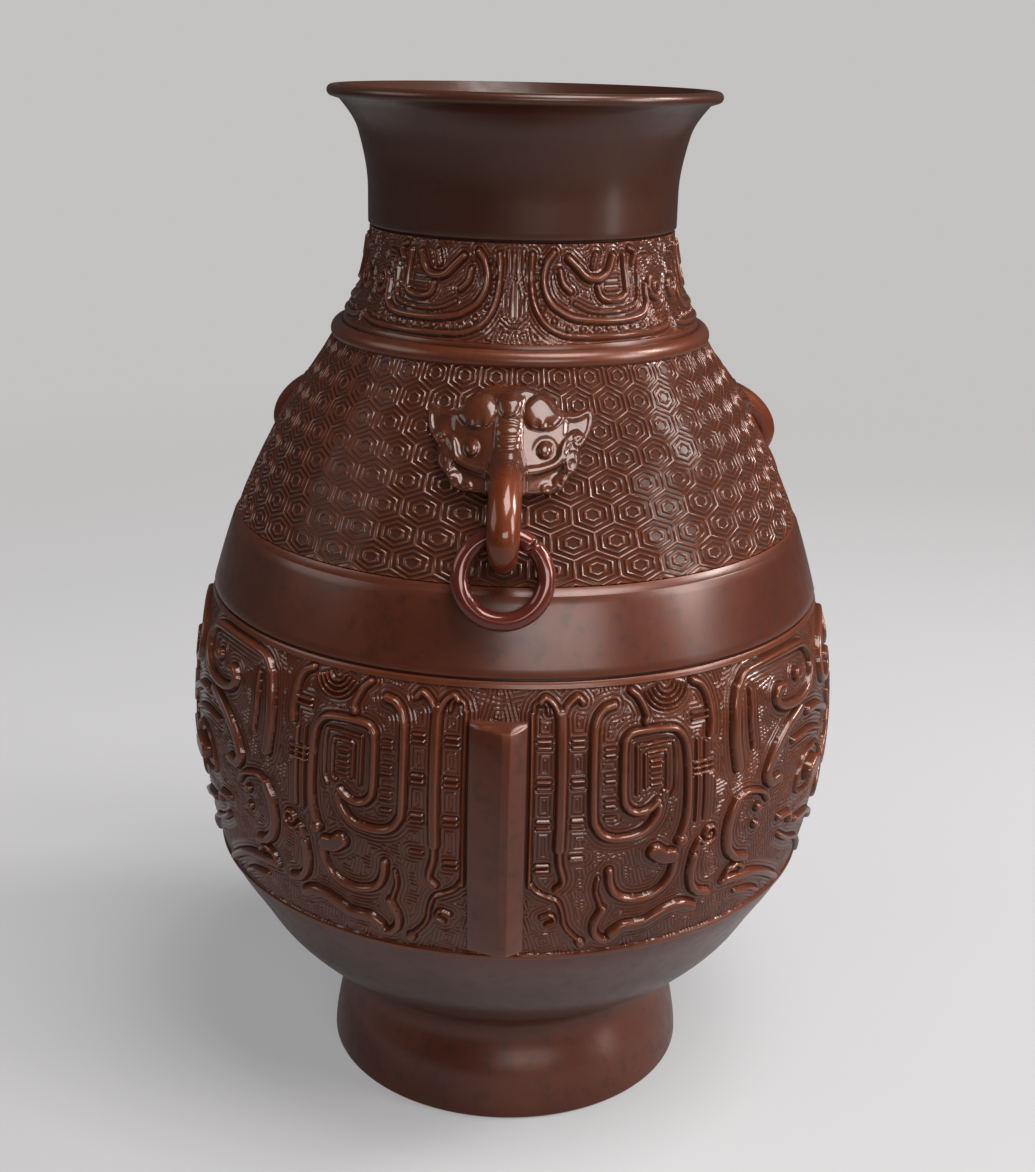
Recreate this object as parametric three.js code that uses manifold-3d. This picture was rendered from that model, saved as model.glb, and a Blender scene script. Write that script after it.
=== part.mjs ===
// Bronze vase of the old hu shape, with three elephant heads that carry loose rings.
// Millimetres, +Z up. The foot stands on z = 0, the axis is x = y = 0 and the front is -Y.

import * as THREE from 'three';
import { mergeVertices } from 'three/addons/utils/BufferGeometryUtils.js';
import Module from 'manifold-3d';

const wasm = await Module();
wasm.setup();

// Heights of the parts of the wall, from the table up
const footHeight = 27;
const lowerBodyHeight = 49.8;
const bellyBandHeight = 80.7;
const plainBandHeight = 22.8;
const shoulderBandHeight = 50.7;
const mouldingHeight = 5;
const neckBandHeight = 26.5;
const neckHeight = 37.5;

// Outer radii where those parts meet, and at the belly, the neck and the mouth
const footRadius = 56.5;
const footNeckRadius = 50.2;
const bellyBandLowRadius = 90.9;
const bellyRadius = 97.3;
const plainBandLowRadius = 90.9;
const shoulderBandLowRadius = 83.5;
const mouldingRadius = 55.1;
const neckRadius = 44.2;
const mouthRadius = 55.5;

// Casting
const wall = 3;
const footWall = 5;
const bandDepth = 0.5;
const shoulderDepth = 0.9;
const ledgeHeight = 2.5;
const mouldingProud = 1;
const lipBead = 1.6;
const edgeRadius = 0.8;

// Main limbs of the cast relief: how far they stand proud of the wall, how deep they are rooted in
// it, and the longest straight run along one
const reliefRoot = 0.7;
const reliefRun = 24;
const bellyLimbWidth = 2.5;
const bellyLimbProud = 0.9;
const bossWidth = 3.6;
const clawWidth = 3.2;
const eyeBossWidth = 6.4;
const eyeBossProud = 1.9;
const neckLimbWidth = 1.6;
const neckLimbProud = 0.4;

// Bottom disc, let into the foot from below against a seat
const plateThickness = 3;
const plateSeatWidth = 2.2;
const plateRecess = 21;

// Clearance between separate pieces
const clearance = 0.3;

// Applied ridges on the belly
const ridgeWidth = 15;
const ridgeProud = 4.2;
const ridgeSide = 0.9;
const ridgeTopLeft = 1;
const ridgeTopRight = 3.2;
const ridgeLowEnd = 3;
const ridgeTopEnd = 10.5;
const ridgeBevel = 1.6;

// Loose rings, each bent from a round rod with its ends left a saw cut apart
const ringDiameter = 27;
const ringWire = 4.9;
const ringCut = 1;
const ringCutAngle = 40.5;

// Elephant heads
const headCount = 3;
const headRise = 34;
const headHalfWidth = 22;
const headHalfHeight = 12.5;
const earThickness = 2.2;
const faceTilt = 0.14;
const browHeight = 1.9;
const browSide = 8.8;
const browRise = 6.6;
const browSpread = 6;
const browSpreadUp = 4.5;
const noseHeight = 3.8;
const noseDrop = 1;
const noseSpread = 6;
const noseSpreadUp = 8;
const eyeRadius = 2.3;
const eyeSide = 9.4;
const eyeDrop = 1.6;
const eyeProud = 0.3;
const trunkRootRadius = 4.6;
const trunkHookRadius = 4.2;
const trunkTipRadius = 3.2;
const trunkRootProud = 2;
const trunkRootDrop = 6;
const trunkReach = 8.5;
const hookRise = 13.1;
const hookRoom = 2.3;
const hookLead = 7;

// Rivets that hold the heads from inside
const rivetShank = 6;
const rivetHead = 10.5;
const rivetDome = 2.4;
const rivetDepth = 3.5;
const rivetDrop = 5;

// Facets round the axis and round the small pieces
const wallFacets = 48;
const rivetFacets = 16;
const ringSides = 10;
const ringSteps = 36;
const trunkSides = 12;
const trunkSteps = 20;
const maskAround = 40;
const maskRings = 5;

// Heights of the joints of the wall
const bellyBandLow = footHeight + lowerBodyHeight;
const plainBandLow = bellyBandLow + bellyBandHeight;
const shoulderLow = plainBandLow + plainBandHeight;
const mouldingLow = shoulderLow + shoulderBandHeight;
const neckBandLow = mouldingLow + mouldingHeight;
const neckLow = neckBandLow + neckBandHeight;
const mouthHeight = neckLow + neckHeight;

// Outer profile of the vase, as [height, radius] stations joined by a smooth curve
const between = (a, b, share) => a + (b - a) * share;
const stations = [
  [0, footRadius],
  [footHeight * 0.44, between(footNeckRadius, footRadius, 0.76)],
  [footHeight, footNeckRadius],
  [between(footHeight, bellyBandLow, 0.34), between(footNeckRadius, bellyBandLowRadius, 0.47)],
  [between(footHeight, bellyBandLow, 0.51), between(footNeckRadius, bellyBandLowRadius, 0.65)],
  [between(footHeight, bellyBandLow, 0.68), between(footNeckRadius, bellyBandLowRadius, 0.78)],
  [bellyBandLow, bellyBandLowRadius],
  [between(bellyBandLow, plainBandLow, 0.17), between(bellyBandLowRadius, bellyRadius, 0.57)],
  [between(bellyBandLow, plainBandLow, 0.51), bellyRadius],
  [between(bellyBandLow, plainBandLow, 0.78), between(plainBandLowRadius, bellyRadius, 0.74)],
  [plainBandLow, plainBandLowRadius],
  [shoulderLow, shoulderBandLowRadius],
  [between(shoulderLow, mouldingLow, 0.49), between(mouldingRadius, shoulderBandLowRadius, 0.585)],
  [mouldingLow, mouldingRadius],
  [between(mouldingLow, neckLow, 0.54), between(neckRadius, mouldingRadius, 0.22)],
  [neckLow, neckRadius],
  [between(neckLow, mouthHeight, 0.25), neckRadius],
  [between(neckLow, mouthHeight, 0.68), between(neckRadius, mouthRadius, 0.24)],
  [mouthHeight, mouthRadius],
];

// Slopes at the stations: the weighted harmonic mean of the chords, or none where they turn back
const chord = (i) => (stations[i + 1][1] - stations[i][1]) / (stations[i + 1][0] - stations[i][0]);
const stationSlopes = stations.map((station, i) => {
  if (i === 0) {
    return 0;
  }
  if (i === stations.length - 1) {
    return chord(i - 1) * 1.2;
  }
  const before = chord(i - 1);
  const after = chord(i);
  return before * after <= 0 ? 0 : (2 * before * after) / (before + after);
});

// Outer radius and its slope at a height, by a cubic between the stations on either side
function profile(z) {
  const last = stations.length - 2;
  const found = stations.findIndex((station, i) => i <= last && z <= stations[i + 1][0]);
  const i = found < 0 ? last : found;
  const [z0, r0] = stations[i];
  const [z1, r1] = stations[i + 1];
  const span = z1 - z0;
  const t = (z - z0) / span;
  const s0 = stationSlopes[i] * span;
  const s1 = stationSlopes[i + 1] * span;
  const radius = r0 * (1 + t * t * (2 * t - 3)) + r1 * t * t * (3 - 2 * t)
    + s0 * t * (1 - t) * (1 - t) - s1 * t * t * (1 - t);
  const slope = ((r1 - r0) * 6 * t * (1 - t) + s0 * (1 - t) * (1 - 3 * t)
    + s1 * t * (3 * t - 2)) / span;
  return { radius, slope };
}

// Radius of the surface that lies a distance outside the profile, or inside it where negative
function offsetRadius(z, distance) {
  const { radius, slope } = profile(z);
  return radius + distance * Math.hypot(1, slope);
}

// Heights from one to another, both left out, in equal steps
function heightsBetween(low, high, count) {
  return Array.from({ length: count }, (unused, i) => between(low, high, (i + 1) / (count + 1)));
}

// Heights at which the shoulder is drawn, used for the wall and for what fits on it
const shoulderHeights = [shoulderLow, ...heightsBetween(shoulderLow, mouldingLow, 5), mouldingLow];

// A closed three.js geometry becomes a solid, and a solid becomes a geometry again
function solid(geometry) {
  const bare = geometry.clone();
  bare.deleteAttribute('normal');
  bare.deleteAttribute('uv');
  const merged = mergeVertices(bare, 1e-4);
  const index = Array.from(merged.index.array);
  const kept = [];
  for (let i = 0; i < index.length; i += 3) {
    const [a, b, c] = index.slice(i, i + 3);
    if (a !== b && b !== c && c !== a) {
      kept.push(a, b, c);
    }
  }
  const vertProperties = new Float32Array(merged.attributes.position.array);
  const triVerts = new Uint32Array(kept);
  return new wasm.Manifold(new wasm.Mesh({ numProp: 3, vertProperties, triVerts }));
}

function shape(manifold) {
  const mesh = manifold.getMesh();
  const geometry = new THREE.BufferGeometry();
  geometry.setAttribute('position', new THREE.Float32BufferAttribute(mesh.vertProperties, 3));
  geometry.setIndex(Array.from(mesh.triVerts));
  return geometry;
}

// A turned piece: the outline is a list of [radius, height], up the outside and down the inside
function turned(outline, facets) {
  const points = outline.map(([radius, height]) => new THREE.Vector2(radius, height));
  const geometry = new THREE.LatheGeometry(points, facets);
  geometry.rotateX(Math.PI / 2);
  return geometry;
}

// A round bar along a path in the radial plane of a head. The path gives [outward, height] and the
// bar's radius at a share of its length, and across is the way from the bar's middle to its side.
function radialBar(path, steps, sides) {
  const centres = Array.from({ length: steps + 1 }, (unused, i) => path(i / steps));
  const positions = [];
  centres.forEach(([outward, height, radius], i) => {
    const [outA, upA] = centres[Math.max(i - 1, 0)];
    const [outB, upB] = centres[Math.min(i + 1, steps)];
    const length = Math.hypot(outB - outA, upB - upA);
    const normalOut = (upB - upA) / length;
    const normalUp = -(outB - outA) / length;
    for (let k = 0; k < sides; k += 1) {
      const angle = (2 * Math.PI * k) / sides;
      const along = radius * Math.cos(angle);
      const across = radius * Math.sin(angle);
      positions.push(across, -(outward + along * normalOut), height + along * normalUp);
    }
  });
  const endAt = ([outward, height]) => positions.push(0, -outward, height);
  endAt(centres[0]);
  endAt(centres[steps]);
  const first = (steps + 1) * sides;
  const index = [];
  for (let k = 0; k < sides; k += 1) {
    const next = (k + 1) % sides;
    index.push(first, next, k);
    index.push(first + 1, steps * sides + k, steps * sides + next);
    for (let i = 0; i < steps; i += 1) {
      const row = i * sides;
      index.push(row + k, row + next, row + sides + next);
      index.push(row + k, row + sides + next, row + sides + k);
    }
  }
  const geometry = new THREE.BufferGeometry();
  geometry.setAttribute('position', new THREE.Float32BufferAttribute(positions, 3));
  geometry.setIndex(index);
  return geometry;
}

// Where a ring hangs: the middle of its rod, at the top, between the trunk and the wall
const ringRadius = (ringDiameter - ringWire) / 2;
const hookHeight = shoulderLow + hookRise;
const hookOut = profile(hookHeight).radius + ringWire / 2 + hookRoom;

// The ring swings in until its rod lies a clearance off the wall. The lean is found by halving.
function restLean() {
  const gapAt = (lean) => {
    const height = hookHeight - 2 * ringRadius * Math.cos(lean);
    const { radius, slope } = profile(height);
    const out = hookOut + 2 * ringRadius * Math.sin(lean);
    return (out - radius) / Math.hypot(1, slope) - ringWire / 2 - clearance;
  };
  let near = 0;
  let far = Math.PI / 2;
  for (let i = 0; i < 40; i += 1) {
    const middle = (near + far) / 2;
    if (gapAt(middle) < 0) {
      near = middle;
    } else {
      far = middle;
    }
  }
  return far;
}
const ringLean = restLean();

// The rivet's line runs square through the wall behind the trunk's root
const rivetHeight = shoulderLow + headRise - rivetDrop;
const rivetSlope = profile(rivetHeight).slope;
const rivetTilt = Math.atan(-rivetSlope);

// A piece turned about the rivet's line, with height 0 on the outer face of the wall
function onRivetLine(outline, facets) {
  const geometry = turned(outline, facets);
  geometry.rotateX(Math.PI / 2 - rivetTilt);
  geometry.translate(0, -profile(rivetHeight).radius, rivetHeight);
  return geometry;
}

function rod(radius, low, high) {
  return onRivetLine([[0, low], [radius, low], [radius, high], [0, high]], rivetFacets);
}

function outerOutline() {
  const outline = [];
  const add = (z, distance) => outline.push([offsetRadius(z, distance), z]);
  outline.push([footRadius - edgeRadius, 0]);
  add(edgeRadius, 0);
  heightsBetween(edgeRadius, footHeight, 3).forEach((z) => add(z, 0));
  add(footHeight, 0);
  heightsBetween(footHeight, bellyBandLow, 5).forEach((z) => add(z, 0));
  add(bellyBandLow, 0);
  add(bellyBandLow + bandDepth, -bandDepth);
  heightsBetween(bellyBandLow, plainBandLow, 6).forEach((z) => add(z, -bandDepth));
  add(plainBandLow - bandDepth, -bandDepth);
  add(plainBandLow, 0);
  add(between(plainBandLow, shoulderLow, 0.5), 0);
  add(shoulderLow - ledgeHeight, 0);
  shoulderHeights.forEach((z) => add(z, -shoulderDepth));
  add(mouldingLow + mouldingHeight * 0.15, mouldingProud * 0.7);
  add(mouldingLow + mouldingHeight * 0.5, mouldingProud);
  add(mouldingLow + mouldingHeight * 0.85, mouldingProud * 0.7);
  add(neckBandLow, -bandDepth);
  heightsBetween(neckBandLow, neckLow, 3).forEach((z) => add(z, -bandDepth));
  add(neckLow - bandDepth, -bandDepth);
  add(neckLow, 0);
  const beadLow = mouthHeight - 2 * lipBead;
  heightsBetween(neckLow, beadLow, 3).forEach((z) => add(z, 0));
  add(beadLow, 0);
  for (let turn = -30; turn <= 90; turn += 30) {
    const angle = THREE.MathUtils.degToRad(turn);
    const beadOut = mouthRadius - lipBead + lipBead * Math.cos(angle);
    outline.push([beadOut, mouthHeight - lipBead + lipBead * Math.sin(angle)]);
  }
  return outline;
}

// Seat of the bottom disc inside the foot
const plateTop = plateRecess + plateThickness;
const seatRadius = footNeckRadius - wall - plateSeatWidth - clearance;
const boreRadius = seatRadius + plateSeatWidth;

function innerOutline() {
  const outline = [];
  const add = (z) => outline.push([offsetRadius(z, -wall), z]);
  add(mouthHeight - lipBead / 2);
  heightsBetween(neckLow, mouthHeight - lipBead, 3).reverse().forEach(add);
  add(neckLow);
  add(between(mouldingLow, neckLow, 0.5));
  add(mouldingLow);
  [...shoulderHeights].reverse().slice(1).forEach(add);
  heightsBetween(bellyBandLow, shoulderLow, 4).reverse().forEach(add);
  add(bellyBandLow);
  heightsBetween(footHeight, bellyBandLow, 2).reverse().forEach(add);
  outline.push([seatRadius, footHeight + clearance]);
  outline.push([seatRadius, plateTop + clearance]);
  outline.push([boreRadius, plateTop + clearance]);
  outline.push([boreRadius, plateRecess / 2]);
  outline.push([footRadius - footWall, 0]);
  return outline;
}

const headTurns = Array.from({ length: headCount }, (unused, i) => (2 * Math.PI * i) / headCount);

// Main limbs of the belly's relief on one quarter of the band, each a path of [degrees from the
// ridge, share of the band's height]
const bellyLimbs = [
  [[9.9, 0.337], [9.9, 0.895]],
  [[18.5, 0.911], [15.2, 0.845], [15, 0.56], [17.2, 0.47], [22, 0.461], [26, 0.555]],
  [
    [25.8, 0.575], [21.2, 0.55], [19.9, 0.61], [19.9, 0.771], [22, 0.819], [28, 0.818],
    [31, 0.758], [31.3, 0.511], [30.4, 0.424],
  ],
  [[18.1, 0.34], [20.3, 0.225], [27, 0.235], [29.6, 0.337]],
  [[48.4, 0.488], [41.6, 0.502], [40.1, 0.38], [42.8, 0.275], [45.4, 0.258]],
  [
    [41.6, 0.622], [41.3, 0.827], [44.2, 0.927], [63, 0.938], [66, 0.857],
    [63.3, 0.779], [56, 0.758], [52, 0.808],
  ],
  [[84.5, 0.932], [72.8, 0.857], [71.8, 0.771], [78, 0.726], [80.4, 0.783]],
];
const clawLimbs = [
  [[17, 0.145], [16.6, 0.084], [21.5, 0.105], [27.5, 0.126], [34.5, 0.131]],
  [[60, 0.724], [51, 0.622], [49, 0.558], [52.4, 0.518]],
];
const bossLimbs = [
  [[25.8, 0.387], [28.8, 0.362], [30.5, 0.416]],
];
const eyeBosses = [
  [[64, 0.449], [67, 0.471]],
];

// Main limbs of the neck's relief on half of a pair of dragons, each a path of [degrees from the
// middle of the pair, share of the band's height]
const neckLimbs = [
  [[5.4, 0.868], [6.2, 0.415], [14, 0.128], [50, 0.091]],
  [[13, 0.883], [9.5, 0.604], [15, 0.317], [34, 0.223], [47, 0.34]],
];

// A bar laid along a path of [angle, height] on the wall, narrower at its top than at its root
function reliefBar(path, width, proud) {
  const points = [path[0]];
  path.slice(1).forEach(([angle, z], i) => {
    const [lastAngle, lastZ] = path[i];
    const run = Math.hypot((angle - lastAngle) * profile(z).radius, z - lastZ);
    const steps = Math.ceil(run / reliefRun);
    for (let k = 1; k <= steps; k += 1) {
      points.push([between(lastAngle, angle, k / steps), between(lastZ, z, k / steps)]);
    }
  });
  const root = -bandDepth - reliefRoot;
  const section = [[-0.5, root], [-0.3, proud], [0.3, proud], [0.5, root]];
  const positions = [];
  points.forEach(([angle, z], i) => {
    const [angleA, zA] = points[Math.max(i - 1, 0)];
    const [angleB, zB] = points[Math.min(i + 1, points.length - 1)];
    const around = (angleB - angleA) * profile(z).radius;
    const up = zB - zA;
    const length = Math.hypot(around, up);
    section.forEach(([side, distance]) => {
      const height = z - (side * width * around) / length;
      const out = offsetRadius(height, distance);
      const turn = angle + (side * width * up) / length / out;
      positions.push(out * Math.sin(turn), -out * Math.cos(turn), height);
    });
  });
  const last = (points.length - 1) * section.length;
  const index = [0, 2, 1, 0, 3, 2, last, last + 1, last + 2, last, last + 2, last + 3];
  for (let row = 0; row < last; row += section.length) {
    for (let k = 0; k < section.length; k += 1) {
      const next = (k + 1) % section.length;
      index.push(row + k, row + next, row + section.length + next);
      index.push(row + k, row + section.length + next, row + section.length + k);
    }
  }
  const geometry = new THREE.BufferGeometry();
  geometry.setAttribute('position', new THREE.Float32BufferAttribute(positions, 3));
  geometry.setIndex(index);
  return geometry;
}

// All limbs of both bands. A path is repeated about each middle, to its right and mirrored.
function reliefBars() {
  const bars = [];
  const lay = (paths, middles, low, height, width, proud) => {
    paths.forEach((path) => {
      middles.forEach((middle) => {
        [-1, 1].forEach((side) => {
          const placed = path.map(([degrees, share]) => [
            middle + side * THREE.MathUtils.degToRad(degrees),
            low + share * height,
          ]);
          bars.push(solid(reliefBar(placed, width, proud)));
        });
      });
    });
  };
  const onBelly = (paths, width, proud) => {
    lay(paths, [0, Math.PI], bellyBandLow, bellyBandHeight, width, proud);
  };
  onBelly(bellyLimbs, bellyLimbWidth, bellyLimbProud);
  onBelly(clawLimbs, clawWidth, bellyLimbProud);
  onBelly(bossLimbs, bossWidth, bellyLimbProud);
  onBelly(eyeBosses, eyeBossWidth, eyeBossProud);
  lay(neckLimbs, headTurns, neckBandLow, neckBandHeight, neckLimbWidth, neckLimbProud);
  return bars;
}

// The wall with its mouth, bands, limbs of relief and foot, cast in one, and drilled for the rivets
function vaseBody() {
  const outline = [...outerOutline(), ...innerOutline()];
  outline.push(outline[0]);
  let body = wasm.Manifold.union([solid(turned(outline, wallFacets)), ...reliefBars()]);
  headTurns.forEach((turn) => {
    const drill = rod(rivetShank / 2 + clearance, -2 * wall, 2 * wall);
    drill.rotateZ(turn);
    body = body.subtract(solid(drill));
  });
  return shape(body);
}

function basePlate() {
  const radius = boreRadius - clearance;
  return turned([[0, plateRecess], [radius, plateRecess], [radius, plateTop], [0, plateTop]], wallFacets);
}

// A roof-shaped ridge that follows the belly, with its top flat set to the right of the middle
function ridge() {
  const low = bellyBandLow + ridgeLowEnd;
  const high = plainBandLow - ridgeTopEnd;
  const half = ridgeWidth / 2;
  const section = (share) => [
    [-half, clearance],
    [-half, ridgeSide],
    [ridgeTopLeft, between(ridgeSide, ridgeProud, share)],
    [ridgeTopRight, between(ridgeSide, ridgeProud, share)],
    [half, ridgeSide],
    [half, clearance],
    [half / 2, clearance],
    [0, clearance],
    [-half / 2, clearance],
  ];
  const rows = [low, ...heightsBetween(low, high, 6), high - ridgeBevel, high];
  const positions = [];
  rows.forEach((z) => {
    const ground = offsetRadius(z, -bandDepth);
    section(z === high ? 0.35 : 1).forEach(([side, proud]) => {
      const angle = side / ground;
      const out = ground + proud;
      positions.push(out * Math.sin(angle), -out * Math.cos(angle), z);
    });
  });
  const count = section(1).length;
  const index = [];
  for (let k = 0; k < count; k += 1) {
    const next = (k + 1) % count;
    for (let i = 0; i < rows.length - 1; i += 1) {
      const row = i * count;
      index.push(row + k, row + next, row + count + next);
      index.push(row + k, row + count + next, row + count + k);
    }
  }
  const top = (rows.length - 1) * count;
  const capFaces = [[0, 1, 8], [1, 2, 8], [8, 2, 7], [7, 2, 3], [7, 3, 6], [6, 3, 4], [6, 4, 5]];
  capFaces.forEach(([a, b, c]) => {
    index.push(a, c, b);
    index.push(top + a, top + b, top + c);
  });
  const geometry = new THREE.BufferGeometry();
  geometry.setAttribute('position', new THREE.Float32BufferAttribute(positions, 3));
  geometry.setIndex(index);
  return geometry;
}

// Outline of the mask, from the crown down the right side, as shares of its half width and height
const halfOutline = [
  [0, 1], [0.34, 0.93], [0.53, 0.7], [0.74, 0.54], [0.97, 0.66], [1, 0.26], [0.95, 0.0],
  [0.86, -0.26], [0.8, -0.54], [0.66, -0.86], [0.52, -1], [0.2, -1],
];
const headMiddle = shoulderLow + headRise;

// The mask leans less than the wall, so that it stands out most at the bottom. Its brows and the
// bridge of its nose swell out of it.
function mask() {
  const mirrored = halfOutline.slice(1).map(([x, z]) => [-x, z]).reverse();
  const corners = [...halfOutline, ...mirrored].map(
    ([x, z]) => new THREE.Vector3(x * headHalfWidth, 0, z * headHalfHeight),
  );
  const edge = new THREE.CatmullRomCurve3(corners, true, 'catmullrom', 0.5);
  const proudAt = (x, z) => {
    const brow = Math.hypot((Math.abs(x) - browSide) / browSpread, (z - browRise) / browSpreadUp);
    const nose = Math.hypot(x / noseSpread, (z + noseDrop) / noseSpreadUp);
    const swell = browHeight * Math.exp(-brow * brow) + noseHeight * Math.exp(-nose * nose);
    return earThickness - faceTilt * z + swell;
  };
  const place = (x, z, proud) => {
    const out = offsetRadius(headMiddle + z, 0) + proud;
    return [x, -Math.sqrt(out * out - x * x), headMiddle + z];
  };
  const positions = [...place(0, 0, proudAt(0, 0)), ...place(0, 0, -wall / 2)];
  for (let k = 0; k < maskAround; k += 1) {
    const corner = edge.getPoint(k / maskAround);
    for (let i = 1; i <= maskRings; i += 1) {
      const x = (corner.x * i) / maskRings;
      const z = (corner.z * i) / maskRings;
      positions.push(...place(x, z, proudAt(x, z)));
    }
    positions.push(...place(corner.x, corner.z, -wall / 2));
  }
  const index = [];
  const spoke = maskRings + 1;
  for (let k = 0; k < maskAround; k += 1) {
    const here = 2 + k * spoke;
    const next = 2 + ((k + 1) % maskAround) * spoke;
    index.push(0, next, here);
    index.push(1, here + maskRings, next + maskRings);
    for (let i = 0; i < maskRings; i += 1) {
      index.push(here + i, next + i, next + i + 1);
      index.push(here + i, next + i + 1, here + i + 1);
    }
  }
  const geometry = new THREE.BufferGeometry();
  geometry.setAttribute('position', new THREE.Float32BufferAttribute(positions, 3));
  geometry.setIndex(index);
  return geometry;
}

// The trunk leaves the face, comes down in front of the ring's rod and curls back under it
const trunkRoot = [profile(headMiddle).radius + trunkRootProud, headMiddle - trunkRootDrop];
const rodRoom = ringWire / 2 + clearance;
const trunkFall = new THREE.CubicBezierCurve(
  new THREE.Vector2(...trunkRoot),
  new THREE.Vector2(trunkRoot[0] + trunkReach, trunkRoot[1]),
  new THREE.Vector2(hookOut + rodRoom + trunkHookRadius, hookHeight + hookLead),
  new THREE.Vector2(hookOut + rodRoom + trunkHookRadius, hookHeight),
);

function trunkPath(share) {
  const fallShare = 0.6;
  if (share <= fallShare) {
    const point = trunkFall.getPoint(share / fallShare);
    return [point.x, point.y, between(trunkRootRadius, trunkHookRadius, share / fallShare)];
  }
  const curl = (share - fallShare) / (1 - fallShare);
  const angle = curl * THREE.MathUtils.degToRad(105);
  const radius = between(trunkHookRadius, trunkTipRadius, curl);
  const reach = rodRoom + radius;
  return [hookOut + reach * Math.cos(angle), hookHeight - reach * Math.sin(angle), radius];
}

// What the head keeps clear of: the wall, grown by the clearance
function wallKeepOut() {
  const low = between(plainBandLow, shoulderLow, 0.5);
  const outline = [[0, low], [offsetRadius(low, clearance), low]];
  outline.push([offsetRadius(shoulderLow - ledgeHeight, clearance), shoulderLow - ledgeHeight]);
  shoulderHeights.forEach((z) => outline.push([offsetRadius(z, clearance - shoulderDepth), z]));
  outline.push([offsetRadius(neckBandLow, clearance), neckBandLow]);
  outline.push([0, neckBandLow]);
  return turned(outline, wallFacets);
}

function elephantHead() {
  const eye = (side) => {
    const ball = new THREE.SphereGeometry(eyeRadius, 10, 8);
    const out = profile(headMiddle - eyeDrop).radius + earThickness + eyeProud;
    ball.translate(side * eyeSide, -Math.sqrt(out * out - eyeSide * eyeSide), headMiddle - eyeDrop);
    return solid(ball);
  };
  const bore = rod(rivetShank / 2 + clearance, -2 * wall, rivetDepth + clearance);
  return shape(solid(mask())
    .add(solid(radialBar(trunkPath, trunkSteps, trunkSides)))
    .add(eye(-1))
    .add(eye(1))
    .subtract(solid(wallKeepOut()))
    .subtract(solid(bore)));
}

// A rod bent into a ring about the head's radial plane, with the saw cut at the upper right
function ring() {
  const halfCut = ringCut / 2 / ringRadius;
  const start = THREE.MathUtils.degToRad(ringCutAngle) + halfCut;
  const sweep = 2 * Math.PI - 2 * halfCut;
  const positions = [];
  for (let i = 0; i <= ringSteps; i += 1) {
    const angle = start + (sweep * i) / ringSteps;
    for (let k = 0; k < ringSides; k += 1) {
      const turn = (2 * Math.PI * (k + 0.5)) / ringSides;
      const reach = ringRadius + (ringWire / 2) * Math.cos(turn);
      const fall = ringRadius - reach * Math.cos(angle);
      const off = (ringWire / 2) * Math.sin(turn);
      const out = hookOut + fall * Math.sin(ringLean) + off * Math.cos(ringLean);
      const up = hookHeight - fall * Math.cos(ringLean) + off * Math.sin(ringLean);
      positions.push(reach * Math.sin(angle), -out, up);
    }
  }
  const index = [];
  for (let k = 1; k < ringSides - 1; k += 1) {
    index.push(0, k + 1, k);
    const last = ringSteps * ringSides;
    index.push(last, last + k, last + k + 1);
  }
  for (let i = 0; i < ringSteps; i += 1) {
    for (let k = 0; k < ringSides; k += 1) {
      const next = (k + 1) % ringSides;
      const row = i * ringSides;
      index.push(row + k, row + next, row + ringSides + next);
      index.push(row + k, row + ringSides + next, row + ringSides + k);
    }
  }
  const geometry = new THREE.BufferGeometry();
  geometry.setAttribute('position', new THREE.Float32BufferAttribute(positions, 3));
  geometry.setIndex(index);
  return geometry;
}

// The rivet's shank sits in the head's blind bore, and its tail is peened over inside the wall,
// which is hollow there: the tail lies inward by the dip of the wall across it.
function rivet() {
  const radius = rivetHead / 2;
  const innerRadius = profile(rivetHeight).radius - wall;
  const facetDip = innerRadius * (1 - Math.cos(Math.PI / wallFacets));
  const inside = -wall - clearance - radius ** 2 / (2 * innerRadius) - facetDip;
  return onRivetLine([
    [0, inside - rivetDome],
    [radius * 0.6, inside - rivetDome * 0.8],
    [radius * 0.9, inside - rivetDome * 0.45],
    [radius, inside],
    [rivetShank / 2, inside],
    [rivetShank / 2, rivetDepth],
    [0, rivetDepth],
  ], rivetFacets);
}

// Finishes: the same bronze, patinated dark on the wall and worn warmer on what hands touch
const patina = () => new THREE.MeshStandardMaterial({ color: 0x4a2a1e, roughness: 0.42, metalness: 0.85 });
const polished = () => new THREE.MeshStandardMaterial({ color: 0x6b3320, roughness: 0.32, metalness: 0.9 });
const worn = () => new THREE.MeshStandardMaterial({ color: 0x7a3b1e, roughness: 0.3, metalness: 0.9 });
const bare = () => new THREE.MeshStandardMaterial({ color: 0x5a3c28, roughness: 0.55, metalness: 0.85 });

const vase = new THREE.Group();

function place(name, geometry, material, turn = 0) {
  const mesh = new THREE.Mesh(geometry, material);
  mesh.name = name;
  mesh.rotation.z = turn;
  vase.add(mesh);
}

place('vase_body', vaseBody(), patina());
place('base_plate', basePlate(), bare());
place('ridge_front', ridge(), polished());
place('ridge_back', ridge(), polished(), Math.PI);
const sideNames = ['front', 'right', 'left'];
headTurns.forEach((turn, i) => {
  place(`head_${sideNames[i]}`, elephantHead(), worn(), turn);
  place(`ring_${sideNames[i]}`, ring(), polished(), turn);
  place(`rivet_${sideNames[i]}`, rivet(), bare(), turn);
});

export default vase;
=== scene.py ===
"""A bronze vase of the archaic hu form, with cast bands of relief and three elephant heads whose
trunks carry loose rings. Sizes are in millimetres and are turned to metres where a mesh is made."""

import bmesh
import bpy
import numpy as np
from mathutils import Matrix, Vector


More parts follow.
